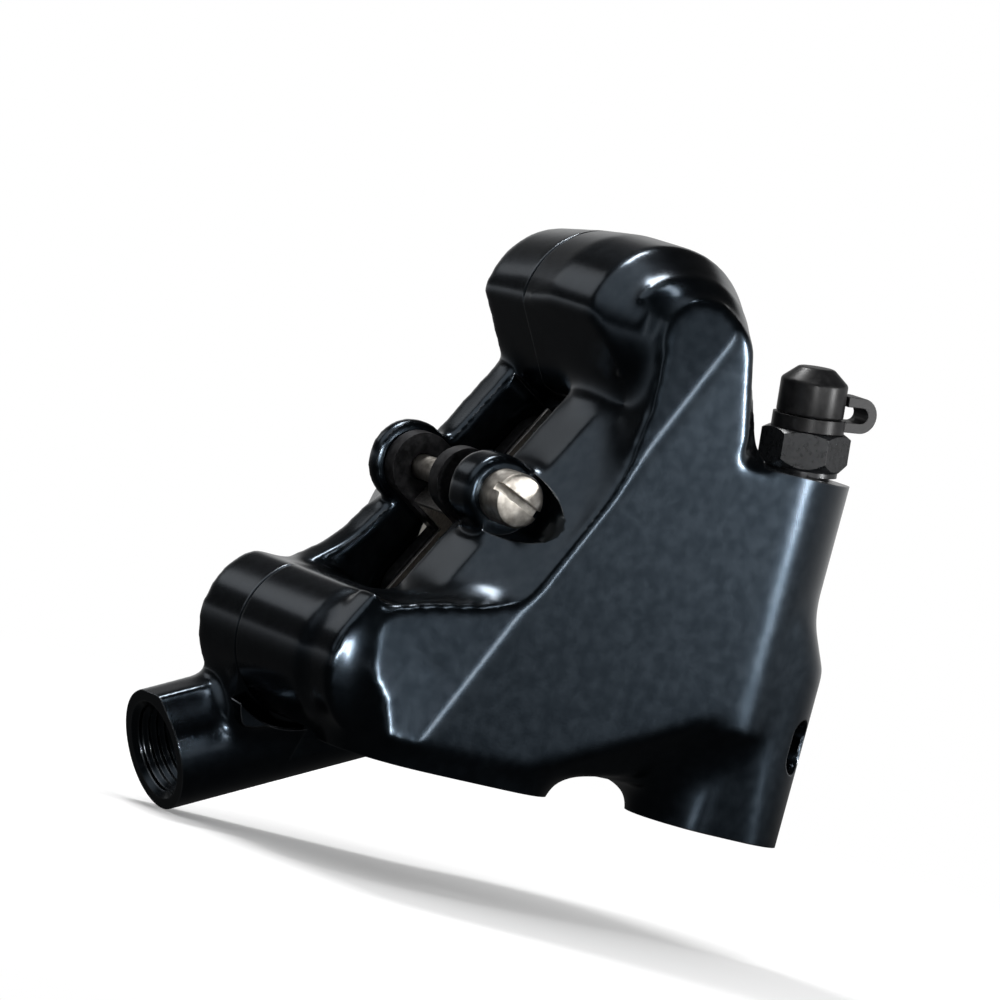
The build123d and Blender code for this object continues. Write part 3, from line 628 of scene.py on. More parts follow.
LEAN = Vector((-sin(RIDGE_ANGLE) * sin(RIDGE_LEAN), -cos(RIDGE_LEAN), cos(RIDGE_ANGLE) * sin(RIDGE_LEAN)))
SKIRT_START = Vector((-4.3, 0, 3.6))
SKIRT_ANGLE = radians(25.0)
SKIRT_DROP = 5.5
SKIRT_BEFORE = 14.0
SKIRT_LENGTH = 50.0


def line_rings(y):
    """Rings at one depth round both body bolts and round the piston, for a skin."""
    return [(place(BOLT, 0, y), BOLT_WALL_R), (place(-BOLT, 0, y), BOLT_WALL_R),
            (place(0, PISTON_UP, y), HOUSING_R)]


def skirt():
    """Below the face the block falls back towards the feet: this is what is taken away there."""
    run = Vector((cos(SKIRT_ANGLE), 0, sin(SKIRT_ANGLE)))
    down = Vector((sin(SKIRT_ANGLE), 0, -cos(SKIRT_ANGLE)))
    start = SKIRT_START - SKIRT_BEFORE * run
    section = ((FACE_Y, 0), (3 * FACE_Y, 0), (3 * FACE_Y, 2 * SKIRT_DROP), (FACE_BACK_Y, 2 * SKIRT_DROP),
               (FACE_BACK_Y, SKIRT_DROP))
    return prism([start + y * ACROSS + fall * down for y, fall in section], SKIRT_LENGTH * run)


def valley():
    """The ruled floor from the crest at the pad window to the face, with a cutter for each two stations."""
    above_rail = ((CREST_Y, RAIL_TOP), (VALLEY_TOP, RAIL_TOP), (VALLEY_TOP, VALLEY_TOP),
                  (CREST_Y, VALLEY_TOP))
    cutters = [line_prism(above_rail, -BOLT, BOLT)]
    for (start, low), (end, high) in zip(VALLEY_FLOOR, VALLEY_FLOOR[1:]):
        cutter = bmesh.new()
        for along, floor_up in ((start - OVERLAP, low), (end + OVERLAP, high)):
            section = ((CREST_Y, RAIL_TOP), (VALLEY_FRONT_Y, floor_up), (VALLEY_FRONT_Y, VALLEY_TOP),
                       (CREST_Y + PAST_CREST, VALLEY_TOP), (CREST_Y + PAST_CREST, RAIL_TOP + PAST_CREST))
            for y, up in section:
                cutter.verts.new(place(along, up, y))
        bmesh.ops.convex_hull(cutter, input=cutter.verts)
        bmesh.ops.recalc_face_normals(cutter, faces=cutter.faces)
        cutters.append(cutter)
    return cutters


def outer_block():
    block = weld(skin(*line_rings(POCKET_OUTER_Y), *line_rings(FACE_BACK_Y)),
                 outline_prism(BLOCK_OUTLINE, POCKET_OUTER_Y, FACE_BACK_Y),
                 line_prism(FILL_SECTION, *FILL_ALONG))
    machine(block, *valley())
    machine(block, outline_prism(FACE_OUTLINE, SLAB_BACK_Y, FACE_Y), operation="UNION")
    return machine(block, half_space(RIDGE_FOOT, LEAN), skirt())


# %% The humps round the body bolts
FLANK = 13.1
FLANK_UP = 0.9
FLANK_NORMAL = (0.891, 0.455)
UPPER_RINGS = ((PARTING_Y + SPARE, 7.63), (9.0, 8.25), (1.6, 8.25), (-3.4, 5.9))
LOWER_RINGS = ((PARTING_Y + SPARE, 7.2), (2.6, 7.2), (-0.2, 6.0), (-3.0, 5.4))
TIP = (Vector((1.0, FACE_Y, 41.5)), 3.0)
SHOULDER_RINGS = ((Vector((2.5, 1.6, 41.0)), 5.2), (Vector((2.5, 1.6, 34.5)), 5.2), TIP,
                  (Vector((2.8, FACE_Y, 34.5)), 3.0))


def window_side(way):
    """What lies beyond the flat that faces the window, on the upper hump for 1 and on the lower for -1."""
    outwards = -way * FLANK_NORMAL[0] * ALONG + FLANK_NORMAL[1] * UP
    return half_space(place(way * FLANK, FLANK_UP, 0), outwards, reach=30.0)


def upper_hump():
    hump = skin(*[(place(UPPER_HUMP, 0, y), radius) for y, radius in UPPER_RINGS], TIP)
    return carve(hump, window_side(1), half_space(RIDGE_FOOT, LEAN))


def lower_hump():
    hump = skin(*[(place(-BOLT, 0, y), radius) for y, radius in LOWER_RINGS])
    return carve(hump, window_side(-1), half_space(RIDGE_FOOT, LEAN))


def right_shoulder():
    """Rounds the face's far edge over to the side of the upper hump."""
    return carve(skin(*SHOULDER_RINGS), half_space(RIDGE_FOOT, LEAN))


# %% The bleed boss, the feet and the ear
BOSS_CENTRE = Vector((11.7, 2.5, 0))
BOSS_R = 9.5
BOSS_FRONT_X = 8.8
BOSS_REAR_X = 20.6
BOSS_BACK_Y = 5.2
BOSS_TOP = 33.0
BOSS_STEPS = 24
FOOT_TOP = 9.0
FRONT_FOOT_R = 6.3
FRONT_FOOT_X = (-17.0, -8.3)
REAR_FOOT_TOP = 16.3
REAR_FOOT_RINGS = ((17.0, 5.7), (13.7, 5.4))
REAR_FOOT_TIP = (Vector((14.7, -0.9, 20.5)), 5.4)
EAR_R = 3.6
EAR_Y = (5.4, 1.2)


def boss():
    """The flat face turns into the boss in one wide arc."""
    start = -acos((BOSS_FRONT_X - BOSS_CENTRE.x) / BOSS_R)
    end = -acos((BOSS_REAR_X - BOSS_CENTRE.x) / BOSS_R)
    turns = [start + (end - start) * i / BOSS_STEPS for i in range(BOSS_STEPS + 1)]
    outline = [BOSS_CENTRE + BOSS_R * Vector((cos(a), sin(a), 0)) for a in turns]
    outline += [Vector((BOSS_REAR_X, BOSS_BACK_Y, 0)), Vector((BOSS_FRONT_X, BOSS_BACK_Y, 0))]
    return prism([point + FOOT_TOP * UPRIGHT for point in outline], (BOSS_TOP + SPARE - FOOT_TOP) * UPRIGHT)


def front_foot():
    return skin(*[(Vector((x, 0, z)), FRONT_FOOT_R) for x in FRONT_FOOT_X for z in (-SPARE, FOOT_TOP)],
                normal=UPRIGHT)


def rear_foot():
    rings = [(Vector((x, 0, z)), radius) for z in (-SPARE, REAR_FOOT_TOP) for x, radius in REAR_FOOT_RINGS]
    return skin(*rings, REAR_FOOT_TIP, normal=UPRIGHT)


def outer_ear():
    return rod(*[place(*AXLE_AT, y) for y in EAR_Y], EAR_R)


# %% [markdown]
# The masses are joined, melted and softened. A forging has wide blends in its hollows, so that the metal
# fills the die, while what stands out can be tight. Plain smoothing would wear the ridge and the leaf away,
# so the whole is softened a little, and then only the hollows are filled.

# %% Join the outer half, melt it and soften it
SHARP_NEAR = 4.6
SHARP_FAR = 6.5
LEAST_SHARE = 0.15


def blend_share(point):
    """How freely a hollow is filled: less round the ear of the pad axle, which stands out sharply."""
    from_axle = (point - place(*AXLE_AT, point.y)).length
    return LEAST_SHARE + (1 - LEAST_SHARE) * fade(from_axle, SHARP_NEAR, SHARP_FAR)


outer = outer_block()
machine(outer, upper_hump(), lower_hump(), right_shoulder(), boss(), front_foot(), rear_foot(), outer_ear(),
        operation="UNION")
melt(outer, VOXEL)
soften(outer, 8)
fill_hollows(outer, 200, blend_share)
soften(outer, 4)
print("outer blank:", len(outer.data.polygons), "faces")

# %% [markdown]
# ## Machining the outer half
# These cuts are made on the forging just as in the factory: the mount face, the parting plane, the rotor's
# slot and the pad pocket, the piston's bore with its seal groove, and every tapped hole with a small
# lead-in. Turned cutters make the holes, so that each is one profile to read, and the threads are rings,
# which look like a helix in so small a hole and stay closed.

# %% Planes and pockets
POCKET_UP = (-40.0, 12.0)
ROTOR_CENTRE_UP = -73.0
ROTOR_WAY_R = 71.0
ROTOR_WAY_Y = (10.0, 16.0)


def pad_pocket():
    section = ((POCKET_OUTER_Y, POCKET_UP[0]), (POCKET_INNER_Y, POCKET_UP[0]), (POCKET_INNER_Y, POCKET_UP[1]),
               (POCKET_OUTER_Y, POCKET_UP[1]))
    return line_prism(section, -POCKET_HALF, POCKET_HALF)


def rotor_slot():
    return rod(*[place(0, ROTOR_CENTRE_UP, y) for y in ROTOR_WAY_Y], ROTOR_WAY_R, segments=256)


def above_boss():
    return outline_prism(((8.2, BOSS_TOP), (26.0, BOSS_TOP), (26.0, 45.0), (8.2, 45.0)), -12.0, 12.0)


machine(outer, half_space((0, 0, 0), -UPRIGHT), half_space((0, PARTING_Y, 0), ACROSS), rotor_slot(),
        pad_pocket(), above_boss())

# %% Holes turned across the caliper
BORE_R = 11.04
SEAL_R = 12.1
SEAL_FROM = 1.4
SEAL_TO = 3.4
BORE_DEPTH = 8.4


def bore(way, start_y):
    """The piston's bore with the groove of its seal, seen from the pocket."""
    profile = ((0, -1.0), (BORE_R, -1.0), (BORE_R, SEAL_FROM), (SEAL_R, SEAL_FROM), (SEAL_R, SEAL_TO),
               (BORE_R, SEAL_TO), (BORE_R, BORE_DEPTH), (0, BORE_DEPTH))
    return lathe(profile, place(0, PISTON_UP, start_y), way * ACROSS)


def tapped(radius, depth, pitch):
    """A tapped hole: a lead-in, the rings of its thread and the drill's cone."""
    root = radius + 0.6 * pitch
    return [(0, -1.0), (root + 0.2, -1.0), (root + 0.2, 0), (radius, 0.2 + root - radius),
            *thread(radius, root, pitch, 0.4 + root - radius, depth), (0, depth + 0.5 * radius)]


BOLT_HOLE = ((0, -1.0), (3.0, -1.0), (3.0, 0), (2.55, 0.45), (2.55, 11.65), (0, 11.65))
PASSAGE_AT = (-14.5, -0.3)
AXLE_HOLE_R = 1.21
SEAL_GROOVE = ((0, -1.0), (1.95, -1.0), (1.95, 0.7), (0.7, 0.7), (0.7, 13.0), (0, 13.0))
RECESS = ((0, -12.0), (3.55, -12.0), (3.55, 1.25), (2.0, 1.25), (2.0, 4.45), (AXLE_HOLE_R, 4.45),
          (AXLE_HOLE_R, 9.0), (0, 9.0))
machine(outer, bore(-1, POCKET_OUTER_Y),
        *[lathe(BOLT_HOLE, place(along, 0, PARTING_Y), -ACROSS) for along in (BOLT, -BOLT)],
        lathe(SEAL_GROOVE, place(*PASSAGE_AT, PARTING_Y), -ACROSS), lathe(RECESS, place(*AXLE_AT, 0), ACROSS))

# %% The mount's tapped holes and the sight window
HALF_PITCH = 17.0
TAPPING_R = 2.1
TAPPED_DEPTH = 8.6
BOLT_PITCH = 0.8
SIGHT_Z = 9.3
SIGHT_HALF = 0.95
SIGHT_TURN = radians(52.0)
SIGHT_RUN = Vector((cos(SIGHT_TURN), -sin(SIGHT_TURN), 0))
SIGHT_HOLE = ((0.5, 1.35), (12.0, 1.35))
SIGHT_MOUTH = ((5.0, 1.2), (6.6, 2.2))


def sight_window(rings):
    """An oval hole in the rear foot, where a rider sees how far the mount bolt reaches."""
    middle = Vector((HALF_PITCH, 0, SIGHT_Z))
    return skin(*[(middle + way * SIGHT_HALF * UPRIGHT + reach * SIGHT_RUN, radius)
                  for way in (-1, 1) for reach, radius in rings], normal=SIGHT_RUN)


for x in (-HALF_PITCH, HALF_PITCH):
    machine(outer, lathe(tapped(TAPPING_R, TAPPED_DEPTH, BOLT_PITCH), Vector((x, 0, 0)), UPRIGHT))
machine(outer, sight_window(SIGHT_HOLE), sight_window(SIGHT_MOUTH))

# %% The nipple's seat, and the small chamfers at the parting plane
NIPPLE_BASE = Vector((15.9, 0, 33.0))
NIPPLE_LEAN = radians(7.0)
NIPPLE_RUN = Vector((-sin(NIPPLE_LEAN), 0, cos(NIPPLE_LEAN)))
NIPPLE_SIDE = Vector((cos(NIPPLE_LEAN), 0, sin(NIPPLE_LEAN)))
SEAT = ((0, 3), (4.4, 3), (4.4, 0), (3.0, 0), (3.0, -8.1), (1.25, -9.7), (0.7, -9.7), (0.7, -11.6),
        (0, -11.6))
CHAMFER = 0.25
UPPER_BOSS_R = 7.8
LOWER_BOSS_R = 7.2


def chamfers(way):
    """Rings that break both bolt bosses' edges at the parting plane. Their axis points into the half."""
    for along, radius in ((UPPER_HUMP, UPPER_BOSS_R), (-BOLT, LOWER_BOSS_R)):
        inside = radius - CHAMFER
        outside = radius + 1.2
        ring = ((inside, -0.2), (outside, -0.2), (outside, CHAMFER + 1.2), (radius, CHAMFER), (inside, 0))
        yield lathe(ring, place(along, 0, PARTING_Y), way * ACROSS, closed=True)


machine(outer, lathe(SEAT, NIPPLE_BASE, NIPPLE_RUN), *chamfers(-1))
hand_over(outer, "outer_casting", "caliper", "outer_half", BODY)

# %% [markdown]
# ## The inner half
# The half on the wheel side is a wall between the two bolt bosses, the round housing of the inner piston,
# and the hose port, a tube that a web hangs from the lower boss. It is melted and machined as the outer
# half was, with less filling, because the photograph shows tighter blends on this side.

# %% Masses of the inner half
WALL_Y = 22.0
BACK_Y = 28.6
BACK_R = 11.4
BACK_SEAT = 2.0
INNER_EAR_Y = 20.2
INNER_EAR_R = 3.9
LOW = place(-BOLT, 0, 0)
WEB = ((LOW.x - 6.9, LOW.z), (LOW.x - 4.1, LOW.z - 9.0), (LOW.x + 7.0, LOW.z - 4.5), (LOW.x + 7.0, LOW.z))
FILLET = ((-15, 0), (-15, 3.6), (-12.6, 2.5), (-10.5, 1.6), (-8.5, 1.1), (-6, 0.9), (-4, 0.5), (-4, -1))
WINDOW_SECTION = ((10.0, RAIL_TOP), (30.0, RAIL_TOP), (30.0, 20.0), (10.0, 20.0))
RIB_ENDS = ((-14.5, -0.3, 20.1), (-8.8, -8.1, 25.95))
RIB_R = 1.9


def inner_wall():
    wall = skin(*line_rings(POCKET_INNER_Y), *line_rings(WALL_Y))
    return carve(wall, line_prism(WINDOW_SECTION, -BOLT, BOLT))


def inner_bosses():
    """The round bosses of both body bolts, flattened where they face the window."""
    start_y = PARTING_Y - SPARE
    upper = skin(*[(place(UPPER_HUMP, 0, y), UPPER_BOSS_R) for y in (start_y, PARTING_Y)],
                 (place(BOLT, 0, WALL_Y), 7.3))
    lower = rod(place(-BOLT, 0, start_y), place(-BOLT, 0, WALL_Y), LOWER_BOSS_R)
    return carve(lower, window_side(-1)), carve(upper, window_side(1))


def inner_housing():
    """The round housing of the inner piston, with a coned back."""
    return (rod(place(0, PISTON_UP, WALL_Y - BACK_SEAT), place(0, PISTON_UP, WALL_Y), HOUSING_R),
            rod(place(0, PISTON_UP, WALL_Y), place(0, PISTON_UP, BACK_Y), HOUSING_R, BACK_R))


# %% The hose port
PORT_MOUTH = Vector((-29.0, 20.8, -5.7))
PORT_ANGLE = radians(25.0)
PORT_RUN = Vector((cos(PORT_ANGLE), 0, sin(PORT_ANGLE)))
PORT_UP = Vector((-sin(PORT_ANGLE), 0, cos(PORT_ANGLE)))
PORT_R = 5.5
PORT_LENGTH = 27.0
PORT_SHOULDER = ((-3.1, 0), (1.2, 0), (1.2, PORT_R), (-3.1, PORT_R))
SHOULDER_LENGTH = 9.0


def hose_port():
    """The tube of the port, with the flat shoulder over its mouth."""
    shoulder = [PORT_MOUTH + y * ACROSS + up * PORT_UP - SPARE * PORT_RUN for y, up in PORT_SHOULDER]
    return (rod(PORT_MOUTH - SPARE * PORT_RUN, PORT_MOUTH + PORT_LENGTH * PORT_RUN, PORT_R),
            prism(shoulder, (SHOULDER_LENGTH + SPARE) * PORT_RUN))


# %% Join the inner half, melt it and soften it
inner = weld(inner_wall(), *inner_bosses(), outline_prism(WEB, PARTING_Y - SPARE, WALL_Y),
             prism([place(*at, POCKET_INNER_Y) for at in FILLET], (WALL_Y - POCKET_INNER_Y) * ACROSS),
             *inner_housing(), rod(*[place(*AXLE_AT, y) for y in (POCKET_INNER_Y, INNER_EAR_Y)], INNER_EAR_R),
             *hose_port(), rod(*[place(*end) for end in RIB_ENDS], RIB_R))
melt(inner, VOXEL)
soften(inner, 8)
fill_hollows(inner, 60, lambda point: 1.0)
soften(inner, 4)
print("inner blank:", len(inner.data.polygons), "faces")

# %% Machine the inner half
COUNTERBORE = ((0, -5.0), (5.1, -5.0), (5.1, 0), (4.8, 0.3), (4.8, 4.0), (2.65, 4.0), (2.65, 10.0), (0, 10.0))
PORT_HOLE = ((0, -3.0), (4.5, -3.0), (4.5, 0), (4.0, 0.5), *thread(4.0, 3.62, 0.75, 0.9, 12.0), (2.8, 12.0),
             (2.8, 15.0), (0.7, 15.0), (0.7, 24.0), (0, 24.0))
CLIP_R = 2.7
machine(inner, half_space((0, PARTING_Y, 0), -ACROSS), half_space(PORT_MOUTH, -PORT_RUN), rotor_slot(),
        pad_pocket(), bore(1, POCKET_INNER_Y),
        *[lathe(COUNTERBORE, place(along, 0, WALL_Y), -ACROSS) for along in (BOLT, -BOLT)],
        lathe(PORT_HOLE, PORT_MOUTH, PORT_RUN),
        rod(place(*AXLE_AT, 10.0), place(*AXLE_AT, 24.0), AXLE_HOLE_R),
        rod(place(*AXLE_AT, INNER_EAR_Y), place(*AXLE_AT, 34.0), CLIP_R), *chamfers(1))
hand_over(inner, "inner_casting", "caliper", "inner_half", BODY)

# %% [markdown]
# ## The pad axle
# A slotted screw of nickel-plated steel: a round head, a short thread that holds in the outer ear, and a
# long plain shank that the pads slide on. It could be built from cylinders, but one turned profile holds
# the head's rounding, the thread and the clip's groove in one closed skin. The slot is milled afterwards.

# %% Turn the axle and mill its slot
HEAD_Y = -2.0
HEAD_R = 2.45
SHANK_R = 1.15
GROOVE_R = 0.9
SLOT_WIDTH = 0.8
SLOT_DEPTH = 1.1
SLOT_LENGTH = 8.0
SLOT_TURN = radians(-21.0)
SLOT_RUN = Vector((cos(SLOT_TURN), 0, sin(SLOT_TURN)))
SLOT_SIDE = Vector((-sin(SLOT_TURN), 0, cos(SLOT_TURN)))
AXLE_PROFILE = ((0, 0), (HEAD_R - 0.55, 0), (HEAD_R - 0.18, 0.12), (HEAD_R, 0.4), (HEAD_R, 3.2),
                *thread(1.95, 1.65, 0.5, 3.2, 6.4), (SHANK_R, 6.4), (SHANK_R, 22.35), (GROOVE_R, 22.35),
                (GROOVE_R, 22.85), (SHANK_R, 22.85), (SHANK_R, 23.95), (GROOVE_R, 24.2), (0, 24.2))


def slot_cutter():
    corners = [place(*AXLE_AT, HEAD_Y + y) + side * SLOT_WIDTH / 2 * SLOT_SIDE - SLOT_LENGTH / 2 * SLOT_RUN
               for side, y in ((-1, -1.0), (1, -1.0), (1, SLOT_DEPTH), (-1, SLOT_DEPTH))]
    return prism(corners, SLOT_LENGTH * SLOT_RUN)


axle = to_object(lathe(AXLE_PROFILE, place(*AXLE_AT, HEAD_Y), ACROSS))
machine(axle, slot_cutter())
hand_over(axle, "pad_axle_screw", "pad_axle", "pad_axle", AXLE_STEEL)

# %% [markdown]
# ## The pad spring
# One strip of spring steel folded over the pads: two tongues beside the axle, a bar and two arms on each
# side, which press the plates apart. On so thin a strip a sheet with a thickness would do, but overlapping
# strips are simpler to weld closed. It bends as the pads close.

# %% Fold the pad spring
SPRING_FACE = 3.37
SPRING_THICK = 0.4
SPRING_TOP = 0.2
TONGUE_WIDTH = 5.6
BAR_WIDTH = 23.2
BAR_TOP = -3.6
BAR_FOOT = -4.6
ARM_AT = 11.1
ARM_WIDTH = 1.0
ARM_FOOT = -14.6
ROTOR_Y = 13.0


def spring_strip(along, width, top, foot, y, thick=SPRING_THICK):
    corners = [place(along + w * width / 2, up, y) for w, up in ((-1, foot), (1, foot), (1, top), (-1, top))]
    return prism(corners, thick * ACROSS)


def pad_spring():
    middle = AXLE_AT[0]
    bridge = spring_strip(middle, TONGUE_WIDTH, SPRING_TOP, -0.2, ROTOR_Y - SPRING_FACE, 2 * SPRING_FACE)
    strips = []
    for y in (ROTOR_Y - SPRING_FACE, ROTOR_Y + SPRING_FACE - SPRING_THICK):
        strips += [spring_strip(middle, TONGUE_WIDTH, SPRING_TOP, BAR_FOOT, y),
                   spring_strip(0, BAR_WIDTH, BAR_TOP, BAR_FOOT, y)]
        strips += [spring_strip(side * ARM_AT, ARM_WIDTH, BAR_TOP, ARM_FOOT, y) for side in (-1, 1)]
    return weld(bridge, *strips)


spring = to_object(round_edges(as_bmesh(pad_spring()), 0.08, segments=2))
hand_over(spring, "pad_spring_strip", "caliper", "pad_spring", SPRING_STEEL)
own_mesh(spring)

# %% [markdown]
# ## The bleed nipple
# A black screw with a 7 mm hexagon. Bleeding the brake means a spanner on the hexagon and a hose on the
# neck. The corners of real hexagon stock are turned off at both ends, so the prism is cut by a turned shape
# here too, which leaves the curved edges that a bevel can't give.

# %% Turn the nipple and its hexagon
HEX_FLATS = 7.0
HEX_BASE = 0.5
HEX_TOP = 4.0
HEX_CORNER = HEX_FLATS / sqrt(3)
BLEED_HOLE_R = 0.8
NIPPLE_TOP = 8.2
NIPPLE_PROFILE = ((0, -9.6), (1.2, -9.6), (2.6, -8.1), *thread(2.6, 2.95, 1.0, -8.0, 0), (2.95, 0.1),
                  (3.3, 0.1), (3.3, 1.0), (2.0, 1.2), (2.0, 7.7), (1.5, NIPPLE_TOP),
                  (BLEED_HOLE_R, NIPPLE_TOP), (BLEED_HOLE_R, -6.0), (0, -6.0))
HEX_TURNED = ((0, HEX_BASE), (3.15, HEX_BASE), (3.4, HEX_BASE + 0.1), (4.05, HEX_BASE + 0.9),
              (4.05, HEX_TOP - 0.35), (3.45, HEX_TOP), (0, HEX_TOP))


def hexagon():
    corners = [NIPPLE_BASE + HEX_BASE * NIPPLE_RUN
               + HEX_CORNER * (cos(radians(30 + 60 * i)) * NIPPLE_SIDE + sin(radians(30 + 60 * i)) * ACROSS)
               for i in range(6)]
    solid = prism(corners, (HEX_TOP - HEX_BASE) * NIPPLE_RUN)
    return carve(solid, lathe(HEX_TURNED, NIPPLE_BASE, NIPPLE_RUN), operation="INTERSECT")


nipple = weld(lathe(NIPPLE_PROFILE, NIPPLE_BASE, NIPPLE_RUN), hexagon())
machine(nipple, rod(NIPPLE_BASE + 4.5 * NIPPLE_RUN, NIPPLE_BASE + 9 * NIPPLE_RUN, BLEED_HOLE_R))
hand_over(nipple, "bleed_screw", "bleed_nipple", "bleed_nipple", NIPPLE_STEEL, sharper=25.0)

# %% [markdown]
# ## The rubber cap and its strap
# The cap is moulded rubber: a straight skirt, a cone and a small flat top, with soft corners. Its strap is
# a flat band that leaves a ring round the neck, makes a loop and runs back into the cap. A bent curve could
# carry the band, but a push, a spin and a push give the same loop with flat sides. Pulled off, the cap
# drags the band's upper end along.

# %% Mould the cap
NECK_R = 2.06
CAP_R = 3.05
CAP_BASE = 5.36
CAP_TOP = 9.66
CAP_SHOULDER = CAP_TOP - 1.25
CAP_CEILING = CAP_TOP - 1.3
CAP_PROFILE = ((NECK_R, CAP_BASE), (CAP_R, CAP_BASE), (CAP_R, CAP_SHOULDER), (1.6, CAP_TOP), (0, CAP_TOP),
               (0, CAP_CEILING), (NECK_R, CAP_CEILING))
cap = to_object(round_edges(lathe(CAP_PROFILE, NIPPLE_BASE, NIPPLE_RUN, closed=True), 0.2, segments=4))
hand_over(cap, "rubber_cap", "bleed_cap", "bleed_cap", CAP_RUBBER, sharper=50.0)

# %% Bend the strap
RING_R = 3.3
RING_BASE = 4.06
RING_TOP = 5.3
LOOP_AT = 4.6
LOOP_R = 1.15
BAND = 0.9
BAND_WIDTH = 2.6
BAND_SINK = 0.6
LOOP_STEPS = 16
RING_MID = (RING_BASE + RING_TOP) / 2


def push(bm, face, run):
    """Pushes the end face of a band on, and gives the new end. A face that is left inside is taken out."""
    made = bmesh.ops.extrude_face_region(bm, geom=[face])["geom"]
    bmesh.ops.translate(bm, vec=run, verts=[v for v in made if isinstance(v, bmesh.types.BMVert)])
    take_out(bm, face)
    return next(f for f in made if isinstance(f, bmesh.types.BMFace))


def take_out(bm, face):
    if face.is_valid and all(len(edge.link_faces) > 2 for edge in face.edges):
        bmesh.ops.delete(bm, geom=[face], context="FACES_ONLY")


def band():
    """The flat band, bent by a spin of half a turn: out from the ring, round the loop and back to the cap."""
    bm = bmesh.new()
    start = NIPPLE_BASE + (RING_R - BAND_SINK) * NIPPLE_SIDE + RING_MID * NIPPLE_RUN
    corners = [start + w * ACROSS * BAND_WIDTH / 2 + h * NIPPLE_RUN * BAND / 2
               for w, h in ((-1, -1), (1, -1), (1, 1), (-1, 1))]
    first = bm.faces.new([bm.verts.new(corner) for corner in corners])
    end = push(bm, first, (LOOP_AT - RING_R + BAND_SINK) * NIPPLE_SIDE)
    centre = NIPPLE_BASE + LOOP_AT * NIPPLE_SIDE + (RING_MID + LOOP_R) * NIPPLE_RUN
    made = bmesh.ops.spin(bm, geom=[end], cent=centre, axis=-ACROSS, angle=pi, steps=LOOP_STEPS)["geom_last"]
    take_out(bm, end)
    last = next(f for f in made if isinstance(f, bmesh.types.BMFace))
    push(bm, last, (CAP_R + 0.05 - LOOP_AT) * NIPPLE_SIDE)
    bmesh.ops.recalc_face_normals(bm, faces=bm.faces)
    print("band:", len(bm.verts), "points")
    return bm


RING_PROFILE = ((NECK_R, RING_BASE), (RING_R, RING_BASE), (RING_R, RING_TOP), (NECK_R, RING_TOP))
strap = weld(lathe(RING_PROFILE, NIPPLE_BASE, NIPPLE_RUN, closed=True), band())
hand_over(strap, "cap_strap_band", None, "cap_strap", CAP_RUBBER, sharper=50.0)
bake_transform(strap)

# %% [markdown]
# ## The floor
# A catalogue part stands on a white sweep. Near it the floor is a plain pale sheet, so that it keeps the
# shadow, and further out it turns plain white for the lens alone, so that no horizon shows. A glossy black
# part would mirror such a floor all over its lower half. In the photograph those faces stay black, so
# mirrored rays see a dark table, which grows pale only far away.

# %% The floor
FLOOR_GAP = 0.05
FLOOR_Z = cad_box[0][2] / MM - FLOOR_GAP
FLOOR_HALF = 4000.0
FLOOR_NEAR = 60.0
FLOOR_FAR = 170.0
TABLE_NEAR = 60.0
TABLE_FAR = 700.0
DARK = 0.03
CARD = 0.52


def count(owner, operation, first, second=0.0):
    """A small sum of two values, each a plain number or a socket."""
    made = node(owner, "ShaderNodeMath")
    made.operation = operation
    feed(owner, made.inputs[0], first)
    feed(owner, made.inputs[1], second)
    return made.outputs[0]


def floor_finish():
    material, shader = finish("pale_floor", 0.9, specular=0.0)
    cloud = noise(material, 3.0, detail=2.0)
    pale = shade(material, cloud, (0.93, 0.93, 0.93), (0.95, 0.95, 0.95))
    link(material, pale, shader.inputs["Base Color"])
    where = node(material, "ShaderNodeTexCoord")
    far = node(material, "ShaderNodeVectorMath")
    far.operation = "LENGTH"
    link(material, where.outputs["Object"], far.inputs[0])
    out = far.outputs["Value"]
    seen = node(material, "ShaderNodeLightPath")
    to_lens = count(material, "MULTIPLY", seen.outputs["Is Camera Ray"],
                    span(material, out, 0.0, 1.0, FLOOR_NEAR * MM, FLOOR_FAR * MM, smooth=True))
    share = count(material, "MAXIMUM", to_lens, seen.outputs["Is Glossy Ray"])
    strength = count(material, "MAXIMUM", seen.outputs["Is Camera Ray"],
                     span(material, out, DARK, CARD, TABLE_NEAR * MM, TABLE_FAR * MM, smooth=True))
    white = node(material, "ShaderNodeEmission", Strength=strength)
    mixed = node(material, "ShaderNodeMixShader", Fac=share)
    link(material, shader.outputs[0], mixed.inputs[1])
    link(material, white.outputs[0], mixed.inputs[2])
    link(material, mixed.outputs[0], material.node_tree.nodes["Material Output"].inputs["Surface"])
    return material


bm = bmesh.new()
bmesh.ops.create_grid(bm, x_segments=2, y_segments=2, size=FLOOR_HALF,
                      matrix=Matrix.Translation((0, 0, FLOOR_Z)))
floor = to_object(bm, "floor")
floor.data.transform(Matrix.Scale(MM, 4))
floor.data.materials.append(floor_finish())
print("floor at", round(FLOOR_Z, 2), "mm")

# %% [markdown]
# ## The studio
# A glossy black part shows the room more than itself, so the light is mostly a matter of what there is to
# mirror. To the lens the world is white, and to plain surfaces an even grey. Mirrored rays see a dark room
# with two cards: a pale one at the right, as high as the part, which gives the near faces their even
# blue-grey, and a soft bright one high on the left, which lies on the humps.

# %% The world
PLAIN = 0.75
CARD_X = (-0.6, 0.5)
CARD_HEIGHT = (0.25, 0.5)
KEY = 0.9
KEY_CARD = (-0.70, 0.13, 0.70)
KEY_EDGE = (0.78, 0.95)

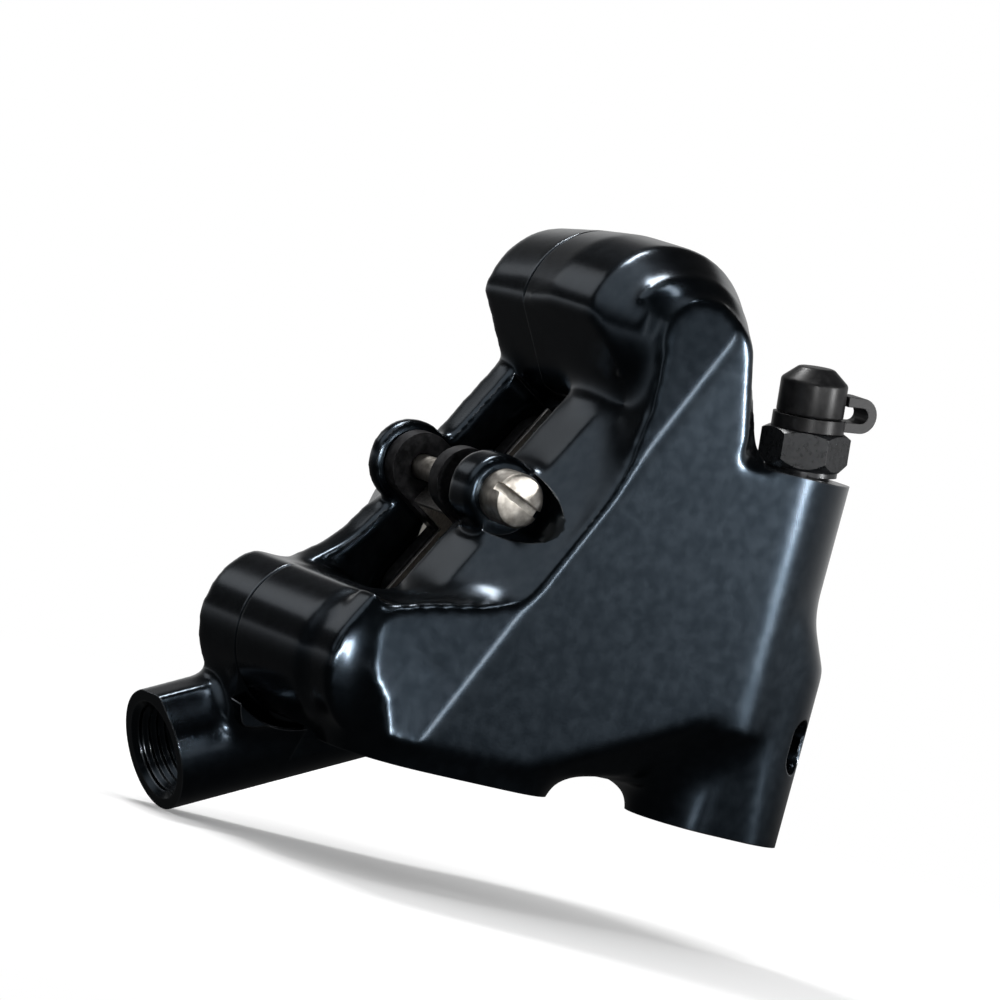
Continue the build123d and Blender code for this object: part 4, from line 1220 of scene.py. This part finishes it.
world = bpy.data.worlds.new("studio")
bpy.context.scene.world = world
world.use_nodes = True
direction = node(world, "ShaderNodeTexCoord").outputs["Generated"]
split = node(world, "ShaderNodeSeparateXYZ", Vector=direction)
height = count(world, "ABSOLUTE", split.outputs["Z"])
side = span(world, split.outputs["X"], 0.0, 1.0, *CARD_X, smooth=True)
level = span(world, height, 1.0, 0.0, *CARD_HEIGHT, smooth=True)
pale = span(world, count(world, "MULTIPLY", side, level), DARK, CARD, smooth=True)
key = span(world, dot_product(world, direction, KEY_CARD), 0.0, KEY, *KEY_EDGE, smooth=True)
seen = node(world, "ShaderNodeLightPath")
mirrored = count(world, "MAXIMUM", seen.outputs["Is Glossy Ray"], seen.outputs["Is Transmission Ray"])
for_gloss = count(world, "MULTIPLY", mirrored, count(world, "ADD", pale, key))
for_plain = count(world, "MULTIPLY", count(world, "SUBTRACT", 1.0, mirrored), PLAIN)
strength = count(world, "MAXIMUM", seen.outputs["Is Camera Ray"], count(world, "ADD", for_gloss, for_plain))
link(world, strength, world.node_tree.nodes["Background"].inputs["Strength"])
world.node_tree.nodes["Background"].inputs["Color"].default_value = (1, 1, 1, 1)
bpy.context.scene.view_settings.view_transform = "Standard"
print("world:", len(world.node_tree.nodes), "nodes")

# %% [markdown]
# ## The lamps
# The lamps draw what the cards can't. One behind and above lights the hollow beside the lower hump, three
# weak ones lift the top, the back and the left side, a low one and one in front draw the edges that face
# the lens, and the tall narrow one at the right makes the streak down the bleed boss. Most are narrow and
# far away, so that each leaves a crisp line, where one big lamp would wash the black out.

# %% The lamps
LAMP_TARGET = Vector((-8, 0, 18))


def lamp(name, towards, distance, size, power):
    """A rectangular lamp: its direction from the part, and its distance, width and height in millimetres."""
    light = bpy.data.lights.new(name, "AREA")
    light.shape = "RECTANGLE"
    light.size, light.size_y = (length * MM for length in size)
    light.energy = power
    stand = bpy.data.objects.new(name, light)
    bpy.context.scene.collection.objects.link(stand)
    away = Vector(towards).normalized()
    stand.matrix_world = Matrix.Translation((LAMP_TARGET + distance * away) * MM) @ aim(away)
    return stand


lamp("overhead", (-0.15, 0.53, 0.83), 400, (150, 60), 0.8)
lamp("top", (-0.2, -0.35, 0.92), 400, (60, 60), 0.12)
lamp("back", (-0.4, 0.87, 0.4), 400, (110, 110), 0.03)
lamp("left", (-0.75, -0.62, 0.25), 450, (24, 200), 0.03)
lamp("low", (-0.27, -0.96, 0.04), 450, (12, 60), 0.6)
lamp("front", (0.15, -0.97, 0.12), 500, (24, 160), 0.3)
lamp("strip", (0.7, -0.71, 0.13), 430, (14, 100), 1.2)
